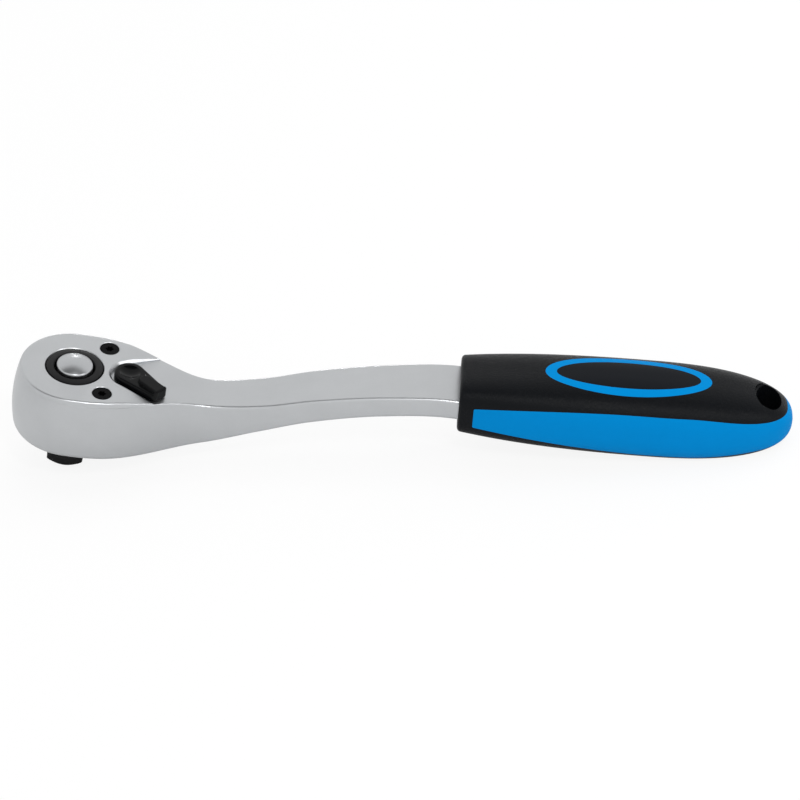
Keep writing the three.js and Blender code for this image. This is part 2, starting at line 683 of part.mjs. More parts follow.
// Helical spring as one tube up +Z from z = 0, its least gap between turns measured on points
function helix(name, radius, wire, length, turns) {
  const stepsPerTurn = 8;
  const sides = 5;
  const steps = Math.round(turns * stepsPerTurn);
  const centres = spread(0, turns, steps).map((turn) => new THREE.Vector3(
    radius * Math.cos(turn * 2 * Math.PI), radius * Math.sin(turn * 2 * Math.PI),
    wire / 2 + ((length - wire) * turn) / turns));
  const lean = Math.atan2(length / turns, 2 * Math.PI * radius);
  const rings = centres.map((centre, i) => {
    const turn = (i / stepsPerTurn) * 2 * Math.PI;
    const outward = new THREE.Vector3(Math.cos(turn), Math.sin(turn), 0);
    const upward = new THREE.Vector3(Math.sin(turn), -Math.cos(turn), 0).multiplyScalar(Math.sin(lean));
    upward.z = Math.cos(lean);
    return Array.from({ length: sides }, (_, k) => {
      const round = (k / sides) * 2 * Math.PI;
      const spot = centre.clone().addScaledVector(outward, (wire / 2) * Math.cos(round));
      return spot.addScaledVector(upward, (wire / 2) * Math.sin(round)).toArray();
    });
  });
  let gap = Infinity;
  for (let i = 0; i < steps; i += 1) {
    for (let k = i + stepsPerTurn / 2; k <= steps; k += 1) {
      gap = Math.min(gap, centres[i].distanceTo(centres[k]) - wire);
    }
  }
  console.log(`${name}: least gap between turns ${gap.toFixed(2)} mm`);
  return loft(rings);
}
function makeSprings() {
  const small = helix('lever_spring', plungerRadius - leverSpringWire, leverSpringWire, leverSpringLength,
    leverSpringTurns);
  const back = plungerBack - seatGap;
  const laid = small.rotate([0, 90, 0]).translate([-back, 0, plungerZ]);
  addPiece('lever_spring', onLever(laid), springSteel());
  const large = helix('release_spring', releaseSpringRadius, releaseSpringWire, releaseSpringLength,
    releaseSpringTurns);
  addPiece('release_spring', large.translate([0, 0, springSeat]), springSteel());
}

// Quick release: domed button, push rod with a ball ramp, and the ball in the square's side
function makeRelease() {
  const dome = [[0, skirtBottom], [buttonRadius, skirtBottom], [buttonRadius, buttonEdgeTop - buttonEdge],
    [buttonRadius - buttonEdge / 3, buttonEdgeTop - buttonEdge / 3],
    [buttonRadius - buttonEdge, buttonEdgeTop]];
  const domeSteps = 5;
  for (let i = 1; i <= domeSteps; i += 1) {
    const share = i / domeSteps;
    const rise = buttonDome * (1 - (1 - share) ** 2);
    dome.push([(buttonRadius - buttonEdge) * (1 - share), buttonEdgeTop + rise]);
  }
  const socket = cylinder(rodRadius + seatGap, 0, skirtBottom + rodSocketDepth, 0, 0, 24);
  addPiece('release_button', turned(dome).subtract(socket), satinChrome());
  const half = driveSquare / 2;
  const ballX = half + ballProud - ballRadius;
  const ramp = ballProud / buttonTravel;
  const clear = (ballRadius + runningGap) * Math.hypot(1, ramp);
  const rampRadius = (z) => ballX - clear - ramp * (z - ballZ);
  const rampFoot = ballZ - (rodRadius - (ballX - clear)) / ramp;
  const rampHead = ballZ + buttonTravel + runningGap;
  const waistTop = ballZ + buttonTravel + ballRadius + 2 * runningGap;
  const rodFoot = tipWall + buttonTravel + runningGap;
  const rodTop = skirtBottom + rodSocketDepth - seatGap;
  const rod = turned([[0, rodFoot], [rodRadius, rodFoot], [rodRadius, rampFoot],
    [rampRadius(rampHead), rampHead], [rampRadius(rampHead), waistTop], [rodRadius, waistTop + joinDepth],
    [rodRadius, rodTop], [0, rodTop]], 0, 24);
  addPiece('release_rod', rod, springSteel());
  const ball = new THREE.SphereGeometry(ballRadius, 14, 10).translate(ballX, 0, ballZ);
  addPiece('lock_ball', solidOf(ball), springSteel());
}

// Grip section in its own frame: u from the collar back along the axis, v up; a superellipse
// that swells from a squarish collar and closes in a round tail
const gripSides = 24;
function gripRing(u, inset) {
  const swell = THREE.MathUtils.clamp(u / gripSwell, 0, 1);
  const ease = 1 - (1 - swell) ** 2;
  const tail = Math.max(0, (u - gripTailStart) / (gripLength - inset - gripTailStart));
  const close = Math.max(0, 1 - tail ** gripTailPower) ** gripTailClose;
  const nose = Math.max(0, gripFrontRadius - u);
  const shrink = inset + gripFrontRadius - Math.sqrt(Math.max(0, gripFrontRadius ** 2 - nose ** 2));
  const w = (THREE.MathUtils.lerp(gripFrontHalfWidth, gripHalfWidth, ease) - shrink) * close;
  const h = (THREE.MathUtils.lerp(gripFrontHalfHeight, gripHalfHeight, ease) - shrink) * close;
  const power = THREE.MathUtils.lerp(gripFrontPower, gripFullPower, ease);
  const bow = gripArch * (u / gripLength - 0.5) ** 2 - gripArch / 4;
  return Array.from({ length: gripSides }, (_, i) => {
    const turn = ((i + 0.5) / gripSides) * 2 * Math.PI;
    const [c, s] = [Math.cos(turn), Math.sin(turn)];
    const bend = (value) => Math.sign(value) * Math.abs(value) ** (2 / power);
    return [u, w * bend(c), bow + h * bend(s)];
  });
}
function gripLoft(inset) {
  const stations = [0, gripFrontRadius * (1 - Math.cos(45 * degree)), gripFrontRadius];
  stations.push(...spread(gripFrontRadius, gripTailStart, 7).slice(1));
  const tailSpan = gripLength - inset - gripTailStart;
  const tailSteps = 9;
  for (let i = 1; i <= tailSteps; i += 1) {
    stations.push(gripTailStart + tailSpan * Math.sin((i / tailSteps) * 90 * degree));
  }
  return loft(stations.map((u) => gripRing(u, inset)));
}
const inGripFrame = (solid) =>
  solid.rotate([0, -gripTilt, 0]).translate([gripFrontX, 0, gripFrontZ]);

// Band edge at u: it grows from the blunt front and draws in again towards the tail
function bandEdge(u, front, full, ease, tailDrop) {
  const growth = THREE.MathUtils.clamp((u - bandFront) / bandGrowth, 0, 1);
  const tail = THREE.MathUtils.smoothstep(u, gripLength - bandTailLength, gripLength - bandTailEnd);
  return front + (full - front) * (1 - (1 - growth) ** ease) - tailDrop * tail;
}

// Band outline seen from the side, grown by a margin
function bandShape(margin) {
  const front = bandFront - margin;
  const end = gripLength + bandDepth;
  const top = (u) => bandEdge(u, bandFrontTop, bandTop, bandTopEase, bandTailDropTop) + margin;
  const under = (u) => -bandEdge(u, bandFrontUnder, bandUnder, bandUnderEase, bandTailDropUnder) - margin;
  const stations = spread(bandFront + bandCorner, gripLength, 14);
  const shape = new THREE.Shape();
  shape.moveTo(front, under(bandFront) + bandCorner);
  shape.quadraticCurveTo(front, under(bandFront), front + bandCorner, under(bandFront + bandCorner));
  for (const u of stations.slice(1)) shape.lineTo(u, under(u));
  shape.lineTo(end, under(end));
  shape.lineTo(end, top(end));
  for (const u of stations.toReversed()) shape.lineTo(u, top(u));
  shape.quadraticCurveTo(front, top(bandFront), front, top(bandFront) - bandCorner);
  shape.closePath();
  return shape;
}
const bandPrism = (margin) => {
  const reach = gripHalfWidth + bandDepth;
  const across = { depth: 2 * reach, bevelEnabled: false, curveSegments: 2 };
  const geometry = new THREE.ExtrudeGeometry(bandShape(margin), across);
  return solidOf(geometry.rotateX(Math.PI / 2).translate(0, reach, 0));
};

// Upright elliptical column above the grip's axis, grown by a margin
function ovalColumn(u, length, width, margin, low) {
  const shape = new THREE.Shape();
  shape.absellipse(u, 0, length / 2 + margin, width / 2 + margin, 0, 2 * Math.PI, false);
  return prism(shape, low, gripHalfHeight * 2, 18);
}

// Grip: black core moulded round the tang, blue band on both sides and round the tail, and an
// oval blue ring with a plain inlay on top
function makeGrip() {
  const outer = gripLoft(0);
  const bandInner = gripLoft(bandDepth);
  const ovalInner = gripLoft(ovalDepth);
  const hole = ovalColumn(hangHoleX, hangHoleLength, hangHoleWidth, 0, -gripHalfHeight * 2);
  const widerHole = ovalColumn(hangHoleX, hangHoleLength, hangHoleWidth, seatGap, -gripHalfHeight * 2);
  const band = outer.subtract(bandInner).intersect(bandPrism(0)).subtract(widerHole);
  const beyond = gripLoft(-seatGap);
  const bandSeat = beyond.subtract(gripLoft(bandDepth + seatGap)).intersect(bandPrism(seatGap));
  const ringInner = [ovalLength - 2 * ovalRingLengthwise, ovalWidth - 2 * ovalRingCrosswise];
  const outerOval = ovalColumn(ovalX, ovalLength, ovalWidth, 0, 0);
  const innerOval = ovalColumn(ovalX, ...ringInner, 0, 0);
  const topSkin = outer.subtract(ovalInner);
  const ring = topSkin.intersect(outerOval).subtract(innerOval);
  const panel = topSkin.intersect(ovalColumn(ovalX, ...ringInner, -seatGap, 0));
  const ovalSeat = beyond.subtract(gripLoft(ovalDepth + seatGap)).intersect(
    ovalColumn(ovalX, ovalLength, ovalWidth, seatGap, 0));
  const cavity = loft([
    shankRing(gripFrontX).map(([x, y, z]) => [x - tangShoulder, y, z]),
    shankRing(gripFrontX).map(([x, y, z]) => [x + tangShoulder / 2 + seatGap, y, z]),
  ].map(growRing).concat(tangRings(seatGap)));
  const core = inGripFrame(outer.subtract(bandSeat).subtract(ovalSeat).subtract(hole)).subtract(cavity);
  addPiece('grip_core', core, blackGrip());
  addPiece('grip_band', inGripFrame(band), blueGrip());
  addPiece('grip_oval_ring', inGripFrame(ring), blueGrip());
  addPiece('grip_oval_panel', inGripFrame(panel), blackGrip());
}

// Ring moved outwards from its own middle by the seat's gap, sideways and upwards
function growRing(ring) {
  const middle = (Math.max(...ring.map((p) => p[2])) + Math.min(...ring.map((p) => p[2]))) / 2;
  return ring.map(([x, y, z]) => [x, y + Math.sign(y) * seatGap, z + Math.sign(z - middle) * seatGap]);
}

makeBody();
makeCover();
makeScrew('cover_screw_left', 1);
makeScrew('cover_screw_right', -1);
makeGear();
makePawl();
makeLever();
makePlunger();
makeClip();
makeSprings();
makeRelease();
makeGrip();

export default ratchet;
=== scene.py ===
"""Studio scene of a reversible half-inch ratchet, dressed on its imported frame.

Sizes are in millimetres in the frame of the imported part: the origin is the centre of the drive
square's tip face, +Z runs up the drive axis and the handle points along +X. Meshes are scaled to
metres when they are made. The studio's own sizes are in metres where they say so.
"""
import logging
import math
from dataclasses import dataclass
from enum import Enum
from typing import Callable, Dict, List, Optional, Sequence, Tuple, Union

import bmesh
import bpy
import numpy as np
from mathutils import Matrix, Vector


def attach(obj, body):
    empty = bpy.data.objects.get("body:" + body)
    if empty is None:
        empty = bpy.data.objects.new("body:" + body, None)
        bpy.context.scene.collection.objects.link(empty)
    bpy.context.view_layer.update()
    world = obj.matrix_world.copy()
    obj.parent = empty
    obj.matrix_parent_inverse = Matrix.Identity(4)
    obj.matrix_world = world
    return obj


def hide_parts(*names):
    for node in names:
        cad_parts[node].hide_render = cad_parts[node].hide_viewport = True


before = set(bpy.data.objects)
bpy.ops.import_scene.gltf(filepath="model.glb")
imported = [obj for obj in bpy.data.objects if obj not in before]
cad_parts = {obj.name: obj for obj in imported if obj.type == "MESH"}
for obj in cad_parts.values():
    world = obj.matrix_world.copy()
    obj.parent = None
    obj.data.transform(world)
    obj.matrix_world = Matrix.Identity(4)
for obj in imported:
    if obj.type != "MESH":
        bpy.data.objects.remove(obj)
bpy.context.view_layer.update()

LOG = logging.getLogger("ratchet")
MM = 0.001
MERGE_DISTANCE = 1e-7
SHARP_ANGLE = math.radians(34)
# How far cutters pass the faces that they open, well past or only just
PAST = 1.0
JUST_PAST = 0.1
Colour = Tuple[float, float, float]
Array = np.ndarray
Level = Union[float, np.ndarray]
Piece = bpy.types.Object
Socket = bpy.types.NodeSocket


def srgb(red: int, green: int, blue: int) -> Colour:
    """Linear colour of an eight-bit display colour."""
    shares = np.array([red, green, blue]) / 255
    linear = np.where(shares <= 0.04045, shares / 12.92, ((shares + 0.055) / 1.055) ** 2.4)
    return tuple(float(share) for share in linear)


class Value:
    """A shader number whose Python operators add Math nodes."""

    def __init__(self, nodes: "Nodes", socket: Socket) -> None:
        """Wraps one output socket of a node tree."""
        self.nodes = nodes
        self.socket = socket

    def math(self, operation: str, *terms: "Term") -> "Value":
        """Adds one Math node.

        Args:
            operation: the Math node's operation.
            terms: its inputs in order.

        Returns:
            The node's result.
        """
        node = self.nodes.add("ShaderNodeMath", dict(enumerate(terms)), operation=operation)
        return Value(self.nodes, node.outputs[0])

    def __add__(self, other: "Term") -> "Value":
        """Sum."""
        return self.math("ADD", self, other)

    __radd__ = __add__

    def __sub__(self, other: "Term") -> "Value":
        """Difference."""
        return self.math("SUBTRACT", self, other)

    def __rsub__(self, other: "Term") -> "Value":
        """Difference with a plain number on the left."""
        return self.math("SUBTRACT", other, self)

    def __mul__(self, other: "Term") -> "Value":
        """Product."""
        return self.math("MULTIPLY", self, other)

    __rmul__ = __mul__

    def at_least(self, limit: "Term") -> "Value":
        """Larger of this and a limit."""
        return self.math("MAXIMUM", self, limit)


Term = Union[Value, float]
Feed = Union[Value, Socket, float, Sequence[float]]


class Nodes:
    """A node tree that is filled by short calls."""

    def __init__(self, tree: bpy.types.NodeTree) -> None:
        """Empties the tree and keeps it."""
        self.tree = tree
        tree.nodes.clear()

    def add(self, kind: str, feeds: Optional[Dict[Union[str, int], Feed]] = None,
            **settings: str) -> bpy.types.Node:
        """Adds any node.

        Args:
            kind: the node's type name.
            feeds: values or links for its inputs, by name or number.
            settings: the node's own attributes, which are set first.

        Returns:
            The new node.
        """
        node = self.tree.nodes.new(kind)
        for name, setting in settings.items():
            setattr(node, name, setting)
        for name, feed in (feeds or {}).items():
            self.feed(node.inputs[name], feed)
        return node

    def feed(self, socket: Socket, feed: Feed) -> None:
        """Links a value to an input, or sets the input's own number or colour."""
        if isinstance(feed, Value):
            self.tree.links.new(feed.socket, socket)
        elif isinstance(feed, Socket):
            self.tree.links.new(feed, socket)
        elif isinstance(feed, tuple) and len(feed) == 3 and socket.type == "RGBA":
            socket.default_value = (*feed, 1.0)
        else:
            socket.default_value = feed

    def noise(self, size_mm: float, detail: float, stretch: Sequence[float] = (1, 1, 1)) -> Value:
        """Noise on Object coordinates, in cells about size_mm across, stretched along the axes."""
        place = self.add("ShaderNodeTexCoord").outputs["Object"]
        mapping = self.add("ShaderNodeMapping", {"Vector": place, "Scale": tuple(stretch)})
        node = self.add("ShaderNodeTexNoise", {
            "Vector": mapping.outputs[0], "Scale": 1 / (size_mm * MM), "Detail": detail})
        return Value(self, node.outputs["Fac"])

    def blend(self, share: Value, low: Colour, high: Colour) -> Socket:
        """Colour between two colours by a share; inputs 6 and 7 are the Mix node's colours."""
        return self.add("ShaderNodeMix", {"Factor": share, 6: low, 7: high}, data_type="RGBA").outputs[2]

    def mix(self, share: Feed, first: bpy.types.Node, second: bpy.types.Node) -> bpy.types.Node:
        """Mix of two shaders by a share."""
        return self.add("ShaderNodeMixShader", {0: share, 1: first.outputs[0], 2: second.outputs[0]})


def new_material(name: str) -> Tuple[bpy.types.Material, Nodes]:
    """Makes a material with an empty node tree."""
    material = bpy.data.materials.new(name)
    material.use_nodes = True
    return material, Nodes(material.node_tree)


@dataclass(frozen=True)
class Finish:
    """A surface finish: colour, its unevenness, gloss and fine relief.

    The colour drifts by tint_drift over blotches, the roughness by gloss_drift over smaller smears,
    and a grain of grain_mm cells raises the surface by grain_depth_mm.
    """

    name: str
    colour: Colour
    metallic: float
    roughness: float
    tint_drift: float = 0.06
    blotch_mm: float = 14.0
    blotch_share: float = 0.7
    gloss_drift: float = 0.1
    smear_mm: float = 1.5
    grain_mm: float = 0.3
    grain_depth_mm: float = 0.012
    grain_strength: float = 0.5
    stretch: Tuple[float, float, float] = (1.0, 1.0, 1.0)
    specular: float = 0.5

    def material(self) -> bpy.types.Material:
        """Builds the node material, once for each finish."""
        known = bpy.data.materials.get(self.name)
        if known:
            return known
        material, nodes = new_material(self.name)
        blotch = nodes.noise(self.blotch_mm, detail=4)
        smear = nodes.noise(self.smear_mm, detail=3, stretch=self.stretch)
        grain = nodes.noise(self.grain_mm, detail=2, stretch=self.stretch)
        uneven = blotch * self.blotch_share + smear * (1 - self.blotch_share)
        dark = tuple(channel * (1 - self.tint_drift) for channel in self.colour)
        light = tuple(min(1.0, channel * (1 + self.tint_drift)) for channel in self.colour)
        relief = nodes.add("ShaderNodeBump", {
            "Strength": self.grain_strength, "Distance": self.grain_depth_mm * MM, "Height": grain})
        shader = nodes.add("ShaderNodeBsdfPrincipled", {
            "Base Color": nodes.blend(uneven, dark, light),
            "Metallic": self.metallic,
            "Roughness": self.roughness + (smear + grain - 1.0) * self.gloss_drift,
            "Specular IOR Level": self.specular,
            "Normal": relief.outputs[0],
        })
        nodes.add("ShaderNodeOutputMaterial", {"Surface": shader.outputs[0]})
        return material


SATIN_CHROME = Finish("satin_chrome_plate", srgb(185, 187, 189), 1.0, 0.36, blotch_mm=9, grain_mm=0.6,
                      grain_depth_mm=0.03, grain_strength=0.7)
BUTTON_CHROME = Finish("button_satin_plate", srgb(181, 183, 185), 1.0, 0.33, tint_drift=0.03, blotch_mm=6,
                       gloss_drift=0.05, grain_depth_mm=0.006)
BLACK_OXIDE = Finish("black_phosphate", srgb(20, 20, 21), 0.0, 0.42, tint_drift=0.2, blotch_mm=5,
                     gloss_drift=0.14, smear_mm=1.0, specular=0.15)
BLACK_SCREW = Finish("black_screw_steel", srgb(9, 9, 10), 0.0, 0.35, tint_drift=0.2, blotch_mm=2,
                     gloss_drift=0.14, smear_mm=0.6, grain_mm=0.2, grain_depth_mm=0.008, specular=0.04)
BLACK_LEVER = Finish("black_lever_enamel", srgb(6, 7, 8), 0.0, 0.16, tint_drift=0.15, blotch_mm=6,
                     gloss_drift=0.06, grain_mm=0.8, grain_depth_mm=0.002, specular=0.13)
BLACK_GRIP = Finish("black_grained_grip", srgb(10, 12, 15), 0.0, 0.38, tint_drift=0.15, blotch_mm=20,
                    gloss_drift=0.2, smear_mm=1.2, grain_mm=0.5, grain_depth_mm=0.15, grain_strength=1.0,
                    specular=0.09)
BLACK_PANEL = Finish("black_smooth_inlay", srgb(12, 15, 20), 0.0, 0.42, tint_drift=0.1, blotch_mm=12,
                     gloss_drift=0.06, smear_mm=2, specular=0.07)
BLUE_GRIP = Finish("blue_satin_grip", srgb(0, 125, 192), 0.0, 0.5, blotch_mm=26, gloss_drift=0.08,
                   smear_mm=2, grain_mm=0.4, grain_depth_mm=0.02, specular=0.02)
BRIGHT_STEEL = Finish("ground_bright_steel", srgb(168, 170, 172), 1.0, 0.28, blotch_mm=3, smear_mm=0.8,
                      grain_mm=0.1, grain_depth_mm=0.004, stretch=(1, 1, 6))
BLACK_RUBBER = Finish("black_ring_rubber", srgb(24, 24, 24), 0.0, 0.7, tint_drift=0.12, blotch_mm=4,
                      smear_mm=1, grain_mm=0.2, grain_depth_mm=0.02)


class Cut(Enum):
    """What a cutting tool does to a piece."""

    REMOVE = "DIFFERENCE"
    KEEP = "INTERSECT"


def skin(points: Array, name: str) -> Piece:
    """Makes a closed object: doubles merged, empty faces dropped, faces outwards.

    Args:
        points: array of rings, points round a ring and three coordinates, in millimetres.
        name: the object's name.

    Returns:
        The object, in metres.
    """
    rings, sides = points.shape[:2]
    here = np.arange(rings * sides).reshape(rings, sides)
    after = np.roll(here, -1, axis=1)
    quads = np.stack([here[:-1], after[:-1], after[1:], here[1:]], axis=-1)
    mesh = bpy.data.meshes.new(name)
    mesh.from_pydata((points.reshape(-1, 3) * MM).tolist(), [], quads.reshape(-1, 4).tolist())
    work = bmesh.new()
    work.from_mesh(mesh)
    bmesh.ops.remove_doubles(work, verts=work.verts, dist=MERGE_DISTANCE)
    bmesh.ops.dissolve_degenerate(work, edges=work.edges, dist=MERGE_DISTANCE)
    bmesh.ops.recalc_face_normals(work, faces=work.faces)
    work.to_mesh(mesh)
    work.free()
    piece = bpy.data.objects.new(name, mesh)
    bpy.context.scene.collection.objects.link(piece)
    return piece


def carve(piece: Piece, tool: Piece, cut: Cut = Cut.REMOVE) -> None:
    """Cuts one closed object with another, keeps the result in its mesh and drops the tool.

    Args:
        piece: the object that is cut.
        tool: the cutting object.
        cut: whether the tool's space is removed or kept.
    """
    modifier = piece.modifiers.new("cut", "BOOLEAN")
    modifier.operation = cut.value
    modifier.solver = "MANIFOLD"
    modifier.object = tool
    depsgraph = bpy.context.evaluated_depsgraph_get()
    result = bpy.data.meshes.new_from_object(piece.evaluated_get(depsgraph))
    piece.modifiers.clear()
    spent = [piece.data, tool.data]
    piece.data = result
    result.name = piece.name
    bpy.data.objects.remove(tool)
    for mesh in spent:
        bpy.data.meshes.remove(mesh)


def dress(piece: Piece, finish: Finish, body: str, node: str) -> None:
    """Shades a finished piece and puts it on its body.

    Args:
        piece: the object.
        finish: its surface finish.
        body: the moving body that it rides on.
        node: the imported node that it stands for.
    """
    mesh = piece.data
    mesh.materials.clear()
    mesh.materials.append(finish.material())
    mesh.polygons.foreach_set("material_index", np.zeros(len(mesh.polygons), dtype=np.int32))
    mesh.shade_smooth()
    mesh.set_sharp_from_angle(angle=SHARP_ANGLE)
    weighted = piece.modifiers.new("even_shading", "WEIGHTED_NORMAL")
    weighted.keep_sharp = True
    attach(piece, body)
    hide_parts(node)
    LOG.info("%s on %s, %d faces", piece.name, body, len(mesh.polygons))


def full_turn(segments: int) -> Array:
    """Evenly spread angles round a full turn."""
    return np.linspace(0, 2 * np.pi, segments, endpoint=False)


def arc(start: float, stop: float, steps: int) -> Array:
    """Angles in radians between two angles in degrees."""
    return np.radians(np.linspace(start, stop, steps + 1))


def plan(radius: float, angles: Array, centre: Sequence[float] = (0, 0)) -> Array:
    """Plan points on a circle at angles."""
    return np.column_stack([centre[0] + radius * np.cos(angles), centre[1] + radius * np.sin(angles)])


def turned(profile: Sequence[Tuple[float, float]], segments: int, centre: Sequence[float] = (0, 0)) -> Array:
    """Points of a turned piece: every (radius, height) of the profile carried round an upright axis."""
    angles = full_turn(segments)
    return np.stack([at_level(plan(radius, angles, centre), height) for radius, height in profile])


def laid(points: Array, height: float, facing: int) -> Array:
    """Upright turned points laid along the X axis at a height, facing 1 forwards or -1 backwards."""
    return np.stack([facing * points[..., 2], points[..., 0], points[..., 1] + height], axis=-1)


def at_level(outline: Array, level: Level) -> Array:
    """Plan outline at one level, or at a level for each point."""
    return np.column_stack([outline, np.broadcast_to(level, len(outline))])


def cap(ring: Array) -> Array:
    """Closing ring: every point of a ring drawn to its middle."""
    return np.broadcast_to(ring.mean(axis=0), ring.shape)[None]


def capped(rings: Sequence[Array]) -> Array:
    """Rings closed by a middle point at each end."""
    return np.concatenate([cap(rings[0]), np.stack(rings), cap(rings[-1])])


def column(outlines: Sequence[Array], levels: Sequence[float]) -> Array:
    """Closed upright column: plan outlines at levels."""
    return capped([at_level(outline, level) for outline, level in zip(outlines, levels)])


def smooth_through(stations: Sequence[Tuple[float, float]]) -> Callable[[Array], Array]:
    """Smooth curve through (position, value) stations, level at both ends.

    Each span is a cubic whose end slopes are those of the chord past its neighbours.
    """
    x, y = np.array(stations).T
    slopes = np.zeros_like(x)
    slopes[1:-1] = (y[2:] - y[:-2]) / (x[2:] - x[:-2])

    def curve(places: Array) -> Array:
        """Values of the curve at places."""
        clamped = np.clip(places, x[0], x[-1])
        i = np.clip(np.searchsorted(x, clamped, side="left") - 1, 0, len(x) - 2)
        span = x[i + 1] - x[i]
        t = (clamped - x[i]) / span
        rise = y[i + 1] - y[i]
        m0 = slopes[i] * span
        m1 = slopes[i + 1] * span
        return y[i] + m0 * t + (3 * rise - 2 * m0 - m1) * t**2 + (m0 + m1 - 2 * rise) * t**3

    return curve


def between(first: Level, second: Level, share: Array) -> Array:
    """Values a share of the way from the first to the second."""
    return first + (second - first) * share


def smoothstep(low: float, high: float, places: Array) -> Array:
    """Eased share from 0 at low to 1 at high."""
    t = np.clip((np.asarray(places, dtype=float) - low) / (high - low), 0, 1)
    return t * t * (3 - 2 * t)


@dataclass
class Head:
    """Levels and places that the pieces in the head share."""

    gap: float = 0.3
    bottom: float = 14.4
    depth: float = 24.0
    cover: float = 2.0
    radius: float = 20.84
    bore_floor: float = 20.2
    journal_radius: float = 9.3
    gear_radius: float = 12.0
    hub_radius: float = 10.0
    hub_proud: float = 0.25
    lever_x: float = 19.5
    stem_radius: float = 3.4
    lever_hub_radius: float = 4.4
    lever_hub_depth: float = 3.2
    pilot_radius: float = 2.0
    pilot_depth: float = 2.4
    ball_z: float = 7.5

    @property
    def top(self) -> float:
        """Level of the forging's top under the cover."""
        return self.bottom + self.depth

    @property
    def cover_top(self) -> float:
        """Level of the cover's top."""
        return self.top + self.cover

    @property
    def hub_top(self) -> float:
        """Level of the black hub ring."""
        return self.cover_top + self.hub_proud


